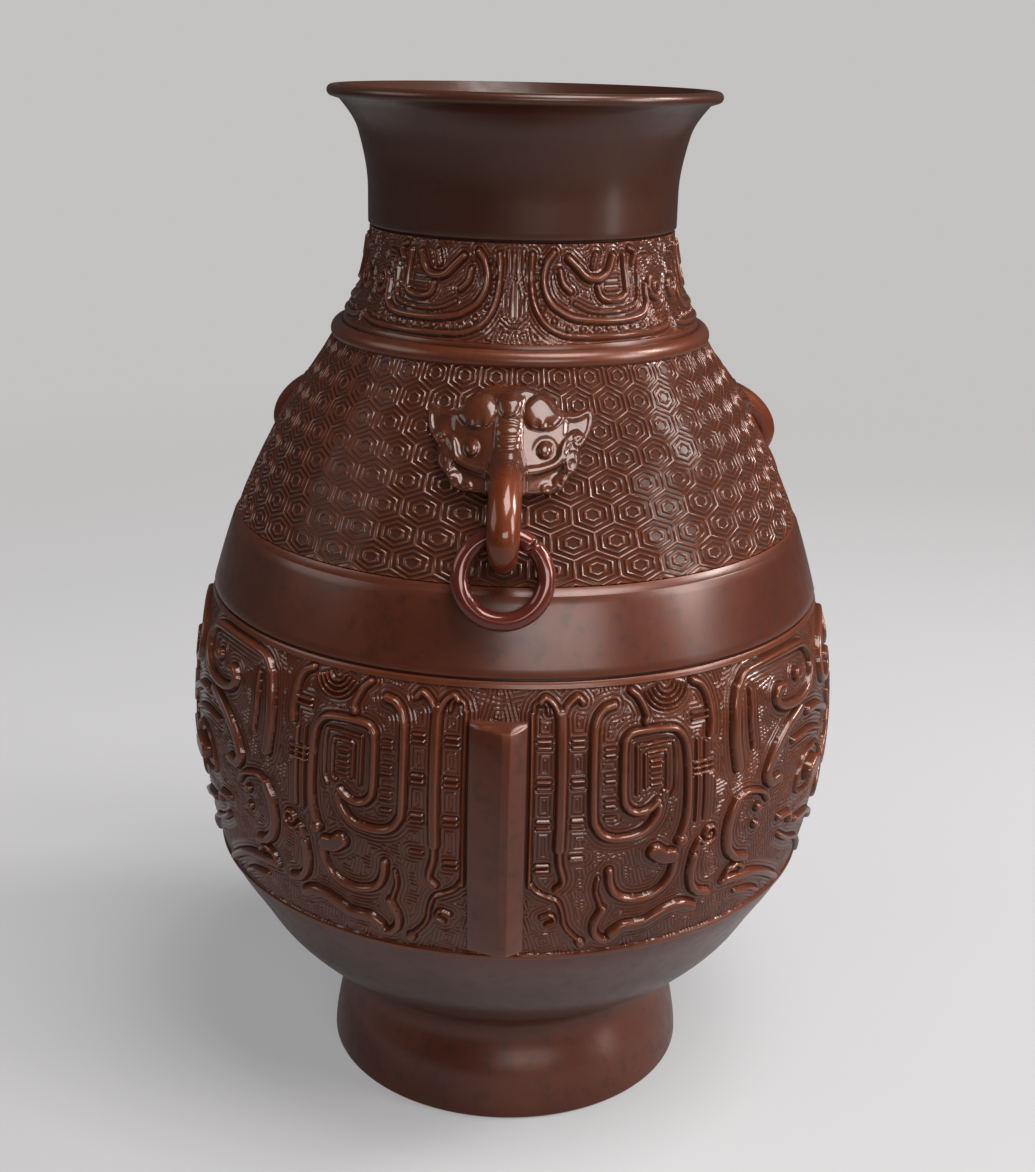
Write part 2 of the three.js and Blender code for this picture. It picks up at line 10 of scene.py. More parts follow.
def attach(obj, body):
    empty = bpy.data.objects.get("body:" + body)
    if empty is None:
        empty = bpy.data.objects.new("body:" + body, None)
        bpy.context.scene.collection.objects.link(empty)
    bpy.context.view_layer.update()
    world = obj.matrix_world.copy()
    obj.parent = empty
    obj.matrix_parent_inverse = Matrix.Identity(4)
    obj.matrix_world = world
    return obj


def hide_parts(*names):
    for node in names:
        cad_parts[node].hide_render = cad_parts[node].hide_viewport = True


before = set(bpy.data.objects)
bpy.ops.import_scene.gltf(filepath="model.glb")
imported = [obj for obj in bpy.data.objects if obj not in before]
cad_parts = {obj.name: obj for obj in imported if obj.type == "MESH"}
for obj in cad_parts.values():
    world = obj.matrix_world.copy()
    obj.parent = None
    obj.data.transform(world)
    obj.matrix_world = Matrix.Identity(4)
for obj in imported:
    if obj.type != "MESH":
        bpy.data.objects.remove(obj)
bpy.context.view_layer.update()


# The wall of the vase is one bronze casting, about 3 mm thick, from the rolled lip to the foot.
# It was cast by the lost wax process and turned smooth where it is plain. The bands of relief
# are built as skins that sit in shallow recesses of this wall.

METRE = 0.001

FOOT_HEIGHT = 27
BELLY_BAND_LOW = 76.8
PLAIN_BAND_LOW = 157.5
SHOULDER_LOW = 180.3
MOULDING_LOW = 231
NECK_BAND_LOW = 236
NECK_LOW = 262.5
MOUTH_HEIGHT = 300
WALL = 3
LIP_BEAD = 1.6
FOOT_EDGE = 0.9
FOOT_EDGE_IN = 52.4
FOOT_EDGE_OUT = 55.6
WALL_COLUMNS = 240
RECESS = 1.3
GROOVE = 1.1
EASE = 0.2

WALL_PATINA = (0.098, 0.020, 0.007)
WALL_RUBBED = (0.18, 0.042, 0.015)
WALL_HOLLOW = (0.038, 0.011, 0.006)
# The darker brown painted as shade on the plain neck and under the belly band.
WALL_PAINTED_SHADE = (0.050, 0.017, 0.009)
INSIDE_RELIEF = -0.7

station_heights = np.array([0, 12, FOOT_HEIGHT, 44, 52.4, 60.9, BELLY_BAND_LOW, 90.5, 118, 139.8,
                            PLAIN_BAND_LOW, SHOULDER_LOW, 205.1, MOULDING_LOW, 248, NECK_LOW,
                            271.9, 288, MOUTH_HEIGHT])
station_radii = np.array([56.5, 55, 50.2, 69.3, 76.7, 81.9, 90.9, 94.5, 97.3, 95.6, 90.9, 83.5,
                          71.7, 55.1, 46.6, 44.2, 44.2, 46.9, 55.5])
station_chords = np.diff(station_radii) / np.diff(station_heights)
before, after = station_chords[:-1], station_chords[1:]
turning = before * after <= 0
middle_slopes = np.where(turning, 0, 2 * before * after / np.where(turning, 1, before + after))
station_slopes = np.concatenate([[0], middle_slopes, [station_chords[-1] * 1.2]])


def wall_radius(height):
    """Outer radius of the plain wall and its slope at each height, by the cubic between the two
    stations on either side that has the stations' own slopes."""
    i = np.clip(np.searchsorted(station_heights, height, side="right") - 1, 0,
                len(station_heights) - 2)
    span = station_heights[i + 1] - station_heights[i]
    t = (height - station_heights[i]) / span
    low, high = station_radii[i], station_radii[i + 1]
    s0, s1 = station_slopes[i] * span, station_slopes[i + 1] * span
    radius = (low * (1 + t * t * (2 * t - 3)) + high * t * t * (3 - 2 * t)
              + s0 * t * (1 - t) ** 2 - s1 * t * t * (1 - t))
    slope = ((high - low) * 6 * t * (1 - t) + s0 * (1 - t) * (1 - 3 * t)
             + s1 * t * (3 * t - 2)) / span
    return radius, slope


def on_wall(azimuth, height, proud):
    """Points at an azimuth in degrees from the front, a height, and a distance that they stand
    proud of the plain wall, square to it."""
    azimuth, height, proud = np.broadcast_arrays(np.radians(azimuth), height, proud)
    radius, slope = wall_radius(height)
    lean = np.hypot(1, slope)
    out = radius + proud / lean
    return np.stack([out * np.sin(azimuth), -out * np.cos(azimuth),
                     height - proud * slope / lean], -1)


def grid_faces(points, closed=False):
    """Four-cornered faces over a grid of points that wraps round in its second way, and in its
    first too where it is closed."""
    count, along = points.shape[:2]
    i, j = np.meshgrid(np.arange(count if closed else count - 1), np.arange(along),
                       indexing="ij")
    i_next, j_next = (i + 1) % count, (j + 1) % along
    return np.stack([i * along + j, i_next * along + j, i_next * along + j_next,
                     i * along + j_next], -1).reshape(-1, 4)


def grid_ends(points):
    """The faces that close the first and the last row of such a grid."""
    count, along = points.shape[:2]
    return [np.arange(along), np.arange(count * along - 1, (count - 1) * along - 1, -1)]


def ring_mesh(name, points):
    """A closed skin from a grid of points that wraps round both ways, like a tube bent into a
    ring: its first way goes round the axis, its second up the outside and down the inside."""
    return grid_object(name, points, grid_faces(points, closed=True))


def raw_mesh(name, points, faces, ends=()):
    """A mesh from points in millimetres, faces that all have four corners, and end faces of any
    number of corners."""
    mesh = bpy.data.meshes.new(name)
    corners = np.concatenate([faces.ravel(), *ends])
    sizes = [4] * len(faces) + [len(end) for end in ends]
    starts = np.concatenate([[0], np.cumsum(sizes)[:-1]])
    mesh.vertices.add(points.size // 3)
    mesh.vertices.foreach_set("co", (points * METRE).astype(np.float32).ravel())
    mesh.loops.add(len(corners))
    mesh.loops.foreach_set("vertex_index", corners.astype(np.int32))
    mesh.polygons.add(len(sizes))
    mesh.polygons.foreach_set("loop_start", starts.astype(np.int32))
    mesh.update(calc_edges=True)
    return mesh


def grid_object(name, points, faces, ends=()):
    """An object in the scene from points and faces, as raw_mesh takes them."""
    return finished(name, raw_mesh(name, points, faces, ends))


def finished(name, mesh, sharp=42):
    """Puts a mesh into the scene, smooth but where it turns by more than an angle in degrees,
    with how far each point stands out written on it."""
    mesh.polygons.foreach_set("use_smooth", np.ones(len(mesh.polygons), bool))
    mesh.set_sharp_from_angle(angle=np.radians(sharp))
    write_relief(mesh)
    piece = bpy.data.objects.new(name, mesh)
    bpy.context.scene.collection.objects.link(piece)
    return piece


def neighbourhood(mesh, reach):
    """The points of a mesh in millimetres, the two ends of each edge, and a weight for each edge
    that falls with its length over the reach."""
    place = np.empty(len(mesh.vertices) * 3, np.float32)
    mesh.vertices.foreach_get("co", place)
    place = place.reshape(-1, 3).astype(float) / METRE
    ends = np.empty(len(mesh.edges) * 2, np.int32)
    mesh.edges.foreach_get("vertices", ends)
    a, b = ends.reshape(-1, 2).T
    length = np.linalg.norm(place[a] - place[b], axis=1)
    return place, a, b, np.exp(-(length / reach) ** 2)


def spread_out(place, a, b, near, rounds, share_of_way=0.5, enough=4):
    """Moves each point towards the weighted mean of its neighbours, a number of times: half
    way where enough of them lie close, and less where they lie far off."""
    count = len(place)
    share = (np.bincount(a, near, count) + np.bincount(b, near, count))[:, None]
    for _ in range(rounds):
        total = np.stack([np.bincount(a, near * place[b, k], count)
                          + np.bincount(b, near * place[a, k], count) for k in range(3)], -1)
        place = place + share_of_way * (total - share * place) / np.maximum(share, enough)
    return place


def write_relief(mesh, reach=1.2, rounds=10, part=0.2):
    """Writes the attribute "relief" on each point: how far it stands out from the mean of the
    points within the reach, in parts of 0.2 mm, less than 0 in a hollow."""
    place, a, b, near = neighbourhood(mesh, reach)
    normal = np.empty(len(place) * 3, np.float32)
    mesh.vertex_normals.foreach_get("vector", normal)
    mean = spread_out(place, a, b, near, rounds)
    stands = ((place - mean) * normal.reshape(-1, 3)).sum(1) / part
    relief = mesh.attributes.new("relief", "FLOAT", "POINT")
    relief.data.foreach_set("value", np.clip(stands, -1, 1).astype(np.float32))


def rows(low, high, step):
    """Heights from one to the other, both taken in, no further apart than the step."""
    return np.linspace(low, high, max(2, int(np.ceil(abs(high - low) / step)) + 1))


def wall_outline():
    """The section of the wall as heights and distances proud of the plain wall, in one list up
    the outside and one down the inside. A groove or step has its corners eased over 0.2 mm."""
    outside = []

    def plain(low, high, proud=0.0, step=2.2):
        outside.extend((z, proud) for z in rows(low, high, step))

    def turned_in(height, steps):
        outside.extend((height + up, proud) for up, proud in steps)

    def groove(height, first):
        turned_in(height, [(-0.7, first), (-0.5, -GROOVE), (-0.1, -GROOVE), (0, -0.3),
                           (EASE, -0.08)])

    plain(FOOT_EDGE, BELLY_BAND_LOW - 1)
    turned_in(BELLY_BAND_LOW, [(-0.8, 0.25), (-0.4, 0.4), (0, 0.42), (0.4, 0.25)])
    plain(BELLY_BAND_LOW + 0.7, PLAIN_BAND_LOW - 2.5, -RECESS, 4)
    plain(PLAIN_BAND_LOW - 2.4, PLAIN_BAND_LOW - 0.9, -0.35, 1)
    groove(PLAIN_BAND_LOW, -0.5)
    plain(PLAIN_BAND_LOW + 2 * EASE, SHOULDER_LOW - 2.7)
    turned_in(SHOULDER_LOW, [(-2.5, -0.08), (-2.3, -0.3), (-0.5, -0.75), (-0.3, -RECESS)])
    plain(SHOULDER_LOW, MOULDING_LOW - 0.2, -1.6, 4)
    turn = np.radians(np.linspace(-75, 90, 12))
    turned_in(MOULDING_LOW, np.stack([2.2 + 2.2 * np.sin(turn), 2.1 * np.cos(turn) - 1.0], -1))
    turned_in(NECK_BAND_LOW, [(-0.3, -0.75), (0.7, -0.6)])
    plain(NECK_BAND_LOW + 1.0, NECK_LOW - 0.8, -RECESS, 4)
    groove(NECK_LOW, -0.7)
    plain(NECK_LOW + 2 * EASE, MOUTH_HEIGHT - 2 * LIP_BEAD - 0.6, 0, 1.6)
    inside = [(z, -WALL) for z in rows(MOUTH_HEIGHT - 2, FOOT_HEIGHT + 2, 3)]
    return np.array(outside), np.array(inside)


def bead(turns, out, height, radius):
    """Points of a round edge in section, as radius and height, for a list of turns in degrees
    that starts from straight out."""
    turns = np.radians(turns)
    return np.stack([out + radius * np.cos(turns), height + radius * np.sin(turns)], -1)


def in_section(outline):
    """Heights and distances proud of the wall, turned into radius and height."""
    place = on_wall(90, outline[:, 0], outline[:, 1])
    return np.stack([place[:, 0], place[:, 2]], -1)


def turned(name, section):
    """A section of radius and height, closed on itself, carried round the axis."""
    azimuth = np.linspace(0, 2 * np.pi, WALL_COLUMNS, endpoint=False)[:, None]
    radius, height = section[:, 0][None], section[:, 1][None]
    return ring_mesh(name, np.stack([radius * np.sin(azimuth), -radius * np.cos(azimuth),
                                     height + 0 * azimuth], -1))


def node(tree, kind, settings=(), **inputs):
    """Adds a node. An input is a value or the socket that feeds it, named with _ for a space,
    or with its number where nodes repeat a name."""
    item = tree.nodes.new("ShaderNode" + kind)
    for key, value in dict(settings).items():
        setattr(item, key, value)
    for key, value in inputs.items():
        socket = item.inputs[int(key[1:]) if key[0] == "n" and key[1:].isdigit()
                             else key.replace("_", " ")]
        if isinstance(value, bpy.types.NodeSocket):
            tree.links.new(value, socket)
        else:
            socket.default_value = value
    return item


def maths(tree, operation, *values):
    """Adds a maths node and gives its result."""
    item = node(tree, "Math", {"operation": operation},
                **{f"n{k}": value for k, value in enumerate(values)})
    return item.outputs[0]


def mixed(tree, share, first, second):
    """Adds a mix of two colours and gives its result."""
    item = node(tree, "Mix", {"data_type": "RGBA"}, n0=share, n6=first, n7=second)
    return item.outputs[2]


def ramped(tree, value, low, high):
    """Adds a smooth step from 0 at the first value to 1 at the second."""
    item = node(tree, "MapRange", {"interpolation_type": "SMOOTHSTEP"}, Value=value,
                From_Min=low, From_Max=high)
    return item.outputs[0]


def group(name, inputs, outputs):
    """A new shader node group with named inputs and outputs."""
    tree = bpy.data.node_groups.new(name, "ShaderNodeTree")
    for title, kind in inputs:
        tree.interface.new_socket(title, in_out="INPUT", socket_type="NodeSocket" + kind)
    for title, kind in outputs:
        tree.interface.new_socket(title, in_out="OUTPUT", socket_type="NodeSocket" + kind)
    return tree, tree.nodes.new("NodeGroupInput").outputs, tree.nodes.new("NodeGroupOutput").inputs


# All bronze has a red-brown patina and wax over it. The patina is mottled, darker in the hollows
# of the relief and rubbed to a warmer brown on what stands out.

patina, given, result = group(
    "Patina", [("Position", "Vector"), ("Relief", "Float"), ("Patina", "Color"),
               ("Rubbed", "Color"), ("Hollow", "Color"), ("Gloss", "Float")],
    [("Color", "Color"), ("Roughness", "Float"), ("Coat", "Float"), ("Height", "Float")])
in_mm = node(patina, "VectorMath", {"operation": "SCALE"}, n0=given["Position"],
             Scale=1 / METRE)
clouds, spots, grain = [node(patina, "TexNoise", Vector=in_mm.outputs[0], Scale=to_a_mm,
                             Detail=detail, Roughness=roughness).outputs[0]
                        for to_a_mm, detail, roughness in ((0.035, 4, 0.6), (0.22, 6, 0.65),
                                                           (1.9, 3, 0.6))]
spotty = maths(patina, "SUBTRACT", spots, 0.5)
uneven = maths(patina, "ADD", given["Relief"], maths(patina, "MULTIPLY", spotty, 0.9))
rubbed = ramped(patina, uneven, 0.2, 1.0)
hollow = ramped(patina, uneven, -0.25, -1.1)
cloudy = mixed(patina, ramped(patina, clouds, 0.35, 0.65), given["Patina"], given["Rubbed"])
body = mixed(patina, 0.35, given["Patina"], cloudy)
body = mixed(patina, maths(patina, "MULTIPLY", ramped(patina, spots, 0.5, 0.68), 0.45), body,
             given["Hollow"])
body = mixed(patina, maths(patina, "MULTIPLY", rubbed, 0.8), body, given["Rubbed"])
body = mixed(patina, maths(patina, "MULTIPLY", hollow, 0.65), body, given["Hollow"])
rough = maths(patina, "ADD", given["Gloss"], maths(patina, "MULTIPLY", hollow, 0.35))
rough = maths(patina, "ADD", rough, maths(patina, "MULTIPLY", spotty, 0.35))
patina.links.new(body, result["Color"])
patina.links.new(maths(patina, "MAXIMUM", rough, 0.12), result["Roughness"])
patina.links.new(maths(patina, "SUBTRACT", 0.7, maths(patina, "MULTIPLY", hollow, 0.55)),
                 result["Coat"])
patina.links.new(maths(patina, "ADD", maths(patina, "MULTIPLY", grain, 0.5), spots),
                 result["Height"])


def bronze(name, patina_colour, rubbed, hollow, gloss, metallic, rise=0.04, wax=0.1):
    """A material of patinated bronze from its three colours, how rough and how metallic it is,
    how far its grain stands up in mm, and how rough its wax is. Also gives its shader, and the
    colour and bump that feed it."""
    material = bpy.data.materials.new(name)
    material.use_nodes = True
    tree = material.node_tree
    shader = tree.nodes["Principled BSDF"]
    place = node(tree, "TexCoord").outputs["Object"]
    stands = node(tree, "Attribute", {"attribute_name": "relief"}).outputs["Fac"]
    surface = node(tree, "Group", {"node_tree": patina}, Position=place, Relief=stands,
                   Patina=(*patina_colour, 1), Rubbed=(*rubbed, 1), Hollow=(*hollow, 1),
                   Gloss=gloss)
    tree.links.new(surface.outputs["Color"], shader.inputs["Base Color"])
    tree.links.new(surface.outputs["Roughness"], shader.inputs["Roughness"])
    tree.links.new(surface.outputs["Coat"], shader.inputs["Coat Weight"])
    for title, value in (("Coat Roughness", wax), ("Coat IOR", 1.6),
                         ("Specular IOR Level", 0.2), ("Metallic", metallic)):
        shader.inputs[title].default_value = value
    bump = node(tree, "Bump", Height=surface.outputs["Height"], Distance=rise * METRE)
    tree.links.new(bump.outputs[0], shader.inputs["Normal"])
    return material, shader, surface.outputs["Color"], bump.outputs[0]


outside, inside = wall_outline()
lip = bead(np.linspace(-70, 165, 15), station_radii[-1] - LIP_BEAD, MOUTH_HEIGHT - LIP_BEAD,
           LIP_BEAD)
foot_edge = bead(np.linspace(180, 270, 5), FOOT_EDGE_IN, FOOT_EDGE, FOOT_EDGE)
foot_rim = bead(np.linspace(270, 345, 5), FOOT_EDGE_OUT, FOOT_EDGE, FOOT_EDGE)
bore = np.array([[44.7, 26.6], [44.7, 24.6], [46.9, 24.3], [46.9, 18], [47.2, 10], [49.5, 5]])
wall_section = np.concatenate([in_section(outside), lip, in_section(inside), bore, foot_edge,
                               foot_rim])
wall_piece = turned("wall", wall_section)

# The inside was never rubbed, so it counts as a hollow all over.
inside_start = len(outside) + len(lip)
wall_relief = wall_piece.data.attributes["relief"].data
stands = np.empty((WALL_COLUMNS, len(wall_section)), np.float32)
wall_relief.foreach_get("value", stands.ravel())
stands[:, inside_start:inside_start + len(inside) + len(bore)] = INSIDE_RELIEF
wall_relief.foreach_set("value", stands.ravel())

# Painted shade: the plain neck and the wall under the belly band are mixed towards a darker brown.
# It stands in for the shade on them, so they read darker than the plain band.
wall_bronze, shader, colour, _ = bronze("wall bronze", WALL_PATINA, WALL_RUBBED, WALL_HOLLOW,
                                        0.42, 0.25, wax=0.26)
tree = wall_bronze.node_tree
place = node(tree, "TexCoord").outputs["Object"]
level = maths(tree, "DIVIDE", node(tree, "SeparateXYZ", Vector=place).outputs["Z"], METRE)
high = ramped(tree, level, NECK_BAND_LOW - 1, NECK_LOW - 0.5)
low = maths(tree, "MULTIPLY", ramped(tree, level, BELLY_BAND_LOW + 8.2, 50),
            ramped(tree, level, 20, 36))
# How much painted shade each height takes: most on the neck and on the waist under the belly.
painted_shade = maths(tree, "MULTIPLY", maths(tree, "ADD", high, low), 0.7)
tree.links.new(mixed(tree, painted_shade, colour, (*WALL_PAINTED_SHADE, 1)), shader.inputs["Base Color"])
wall_piece.data.materials.append(wall_bronze)
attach(wall_piece, "vase")
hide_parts("vase_body")


# The shoulder band is cast with the wall and covered with flat-topped cells: 42 hexagons round and
# nine rows up, the lowest and the highest cut by the band's ends, each with two smaller hexagons
# inside. The cells keep their angle, so they grow narrower towards the neck.

CELLS_AROUND = 42
CELL_ROWS = 9
CELL_LOW = 177.6
CELL_PITCH = 6.4
CELL_GROUND = -0.85
CELL_LINE = 0.42
SHOULDER_DEPTH = 2.0

RELIEF_PATINA = (0.090, 0.021, 0.009)
RELIEF_RUBBED = (0.21, 0.050, 0.016)
RELIEF_HOLLOW = (0.042, 0.016, 0.010)

cell_sizes = np.array([1, 0.945, 0.9, 0.775, 0.73, 0.68, 0.63, 0.585, 0.44, 0.395, 0.34, 0.285,
                       0.24])
cell_heights = CELL_GROUND + CELL_LINE * np.array([1, 0.72, 0, 0, 0.72, 1, 0.72, 0, 0, 0.72, 1,
                                                   0.72, 0.1])


def cell_sheet():
    """Points and faces of all cells, as degrees round the vase, heights, and distances proud of
    the wall. A cell is a nest of six-cornered rings, each a share of the cell's size and at its
    own height, and the rows are set half a cell apart."""
    pitch = 360 / CELLS_AROUND
    corner = np.array([[0, 1], [-1, 0.5], [-1, -0.5], [0, -1], [1, -0.5], [1, 0.5]])
    cell = corner * cell_sizes[:, None, None] * [pitch / 2, CELL_PITCH / 1.5]
    row, column = np.divmod(np.arange(CELL_ROWS * CELLS_AROUND), CELLS_AROUND)
    middle = np.stack([(column + (row + 1) % 2 / 2) * pitch, CELL_LOW + row * CELL_PITCH], -1)
    flat = cell + middle[:, None, None]
    proud = np.broadcast_to(cell_heights[:, None, None], (*flat.shape[:3], 1))
    points = np.concatenate([flat, proud], -1).reshape(-1, 3)
    corners = np.arange(len(points)).reshape(flat.shape[:3])
    before = np.roll(corners, 1, axis=2)
    sides = np.stack([before[:, :-1], corners[:, :-1], corners[:, 1:], before[:, 1:]], -1)
    return points, sides.reshape(-1, 4), corners[:, -1]


def hexagon_band(name, low, high, depth):
    """Cuts the sheet of cells level at both ends while it is still flat, in degrees and
    millimetres, lays it on the wall and closes it behind at a depth below the wall."""
    points, sides, tops = cell_sheet()
    mesh = raw_mesh(name, points / METRE, sides, tops)
    flat = bmesh.new()
    flat.from_mesh(mesh)
    for height, side in ((low, -1), (high, 1)):
        bmesh.ops.bisect_plane(flat, geom=flat.verts[:] + flat.edges[:] + flat.faces[:],
                               dist=1e-5, plane_co=(0, height, 0), plane_no=(0, side, 0),
                               clear_outer=True)
    flat.to_mesh(mesh)
    place = np.empty(len(mesh.vertices) * 3, np.float32)
    mesh.vertices.foreach_get("co", place)
    laid = on_wall(*place.reshape(-1, 3).T.astype(float)) * METRE
    mesh.vertices.foreach_set("co", laid.astype(np.float32).ravel())
    flat.clear()
    flat.from_mesh(mesh)
    bmesh.ops.remove_doubles(flat, verts=flat.verts[:], dist=4e-6)
    rim = [edge for edge in flat.edges if len(edge.link_faces) == 1]
    levels = np.linspace(low, high, 6)
    for height in levels[:-1]:
        if height == low:
            edges = [edge for edge in rim if edge.verts[0].co.z < (low + 3) * METRE]
        grown = bmesh.ops.extrude_edge_only(flat, edges=edges)["geom"]
        edges = [item for item in grown if isinstance(item, bmesh.types.BMEdge)]
        set_on_wall([item for item in grown if isinstance(item, bmesh.types.BMVert)], height,
                    depth)
    top = [edge for edge in rim if edge.verts[0].co.z > (high - 3) * METRE]
    grown = bmesh.ops.extrude_edge_only(flat, edges=top)["geom"]
    set_on_wall([item for item in grown if isinstance(item, bmesh.types.BMVert)], high, depth)
    top = [item for item in grown if isinstance(item, bmesh.types.BMEdge)]
    bmesh.ops.bridge_loops(flat, edges=edges + top)
    bmesh.ops.recalc_face_normals(flat, faces=flat.faces[:])
    flat.to_mesh(mesh)
    flat.free()
    return finished(name, mesh)


def set_on_wall(vertices, height, depth):
    """Moves points straight towards the axis, to a depth below the wall at a height."""
    for vertex in vertices:
        azimuth = np.degrees(np.arctan2(vertex.co.x, -vertex.co.y))
        vertex.co = on_wall(azimuth, height, -depth) * METRE


relief_bronze = bronze("relief bronze", RELIEF_PATINA, RELIEF_RUBBED, RELIEF_HOLLOW, 0.4, 0.25)[0]
hexagons = hexagon_band("shoulder_band", SHOULDER_LOW - 0.2, MOULDING_LOW + 0.4, SHOULDER_DEPTH)
hexagons.data.materials.append(relief_bronze)
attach(hexagons, "vase")
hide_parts("vase_body")


# The belly band is cast with the wall and holds two large mask faces, whose halves mirror each
# other. Each quarter of the band is drawn once, in degrees from a ridge and heights, as strokes
# of given width and height. Fine lines fill the ground between them.

BELLY_SCALE = 1.676
BELLY_STEP = 0.28
BELLY_GROUND = -0.85
BELLY_EDGE = -0.3
BELLY_LINE_PITCH = 1.15
BELLY_LINE_TOP = -0.55
BELLY_SQUARE = 6.9
BELLY_COLUMNS = 540
BELLY_SECTORS = 8
RELIEF_DEPTH = 1.9
BACK_ROWS = 8
STROKE_REACH = 6


def smooth_path(points, step=0.25):
    """A line through the points, as the cubic of Catmull and Rom, cut into short straight
    pieces. A path that ends on its first point is closed."""
    p = np.array(points, float)
    closed = np.allclose(p[0], p[-1])
    p = np.vstack([p[-2] if closed else 2 * p[0] - p[1], p,
                   p[1] if closed else 2 * p[-1] - p[-2]])
    line = []
    for a, b, c, d in zip(p, p[1:], p[2:], p[3:]):
        t = np.linspace(0, 1, max(2, int(np.hypot(*(c - b)) / step)), endpoint=False)[:, None]
        line.append(0.5 * (2 * b + (c - a) * t + (2 * a - 5 * b + 4 * c - d) * t ** 2
                           + (3 * b - a - 3 * c + d) * t ** 3))
    return np.vstack([*line, p[-2:-1]])


def drawn(s, z, strokes, scale):
    """For each point of a grid, the distance to the edge of the nearest stroke, less than 0
    inside it, and that stroke's height. Strokes are (width, height, points)."""
    edge = np.full(s.shape, 99.0)
    top = np.zeros(s.shape)
    for width, height, points in strokes:
        path = smooth_path(np.array(points) * [scale, 1])
        reach = width / 2 + STROKE_REACH
        low, high = path.min(0) - reach, path.max(0) + reach
        i = np.searchsorted(s[:, 0], [low[0], high[0]])
        j = np.searchsorted(z[0], [low[1], high[1]])
        part = (slice(*i), slice(*j))
        x, y = s[part][..., None], z[part][..., None]
        if x.size == 0:
            continue
        a, b = path[:-1], path[1:]
        run = b - a
        size = (run ** 2).sum(1) + 1e-9
        t = np.clip(((x - a[:, 0]) * run[:, 0] + (y - a[:, 1]) * run[:, 1]) / size, 0, 1)
        apart = np.hypot(x - a[:, 0] - t * run[:, 0], y - a[:, 1] - t * run[:, 1]).min(-1)
        apart -= width / 2
        nearer = apart < edge[part]
        edge[part] = np.where(nearer, apart, edge[part])
        top[part] = np.where(nearer, height, top[part])
    return edge, top


def relief(s, z, strokes, scale, ground, pitch, line_top, cell):
    """Heights of a relief. A stroke rises from a groove round it with a rounded shoulder. Up to
    3 mm away the ground holds lines that follow the strokes, and farther out nested squares."""
    edge, top = drawn(s, z, strokes, scale)
    shoulder = np.clip(-edge, 0, 1)
    stroke = ground + (top - ground) * np.sqrt(1 - (1 - shoulder) ** 2)
    u, v = np.abs((s + 0.3 * z) / cell % 1 - 0.5), np.abs((z - 0.2 * s) / cell % 1 - 0.5)
    square = (0.5 - np.maximum(u, v)) * cell
    along = np.where(edge < 3.1, edge - 0.25, square)
    line = np.clip(0.62 - 0.62 * np.cos(2 * np.pi * along / pitch), 0, 1)
    return np.where(edge < 0, stroke, ground + (line_top - ground) * np.where(edge > 0.35, line, 0))


def spiral(middle, reach, turns, start, scale, sense=1):
    """Points of a spiral that winds in to a middle from a distance and a direction."""
    share = np.linspace(0, 1, int(10 * turns) + 2)
    turn = np.radians(start) + sense * 2 * np.pi * turns * share
    out = reach * (1 - 0.85 * share)
    return np.stack([middle[0] + out * np.cos(turn) / scale, middle[1] + out * np.sin(turn)], -1)


def arc(middle, radius, start, stop, scale):
    """Points of an arc about a middle, between two directions in degrees."""
    turn = np.radians(np.linspace(start, stop, 9))
    return np.stack([middle[0] + radius * np.cos(turn) / scale,
                     middle[1] + radius * np.sin(turn)], -1)


def levels_of(left, right, heights, width=0.75, top=0.1):
    """Short level strokes, one above the other."""
    return [(width, top, [(left, z), (right, z)]) for z in heights]


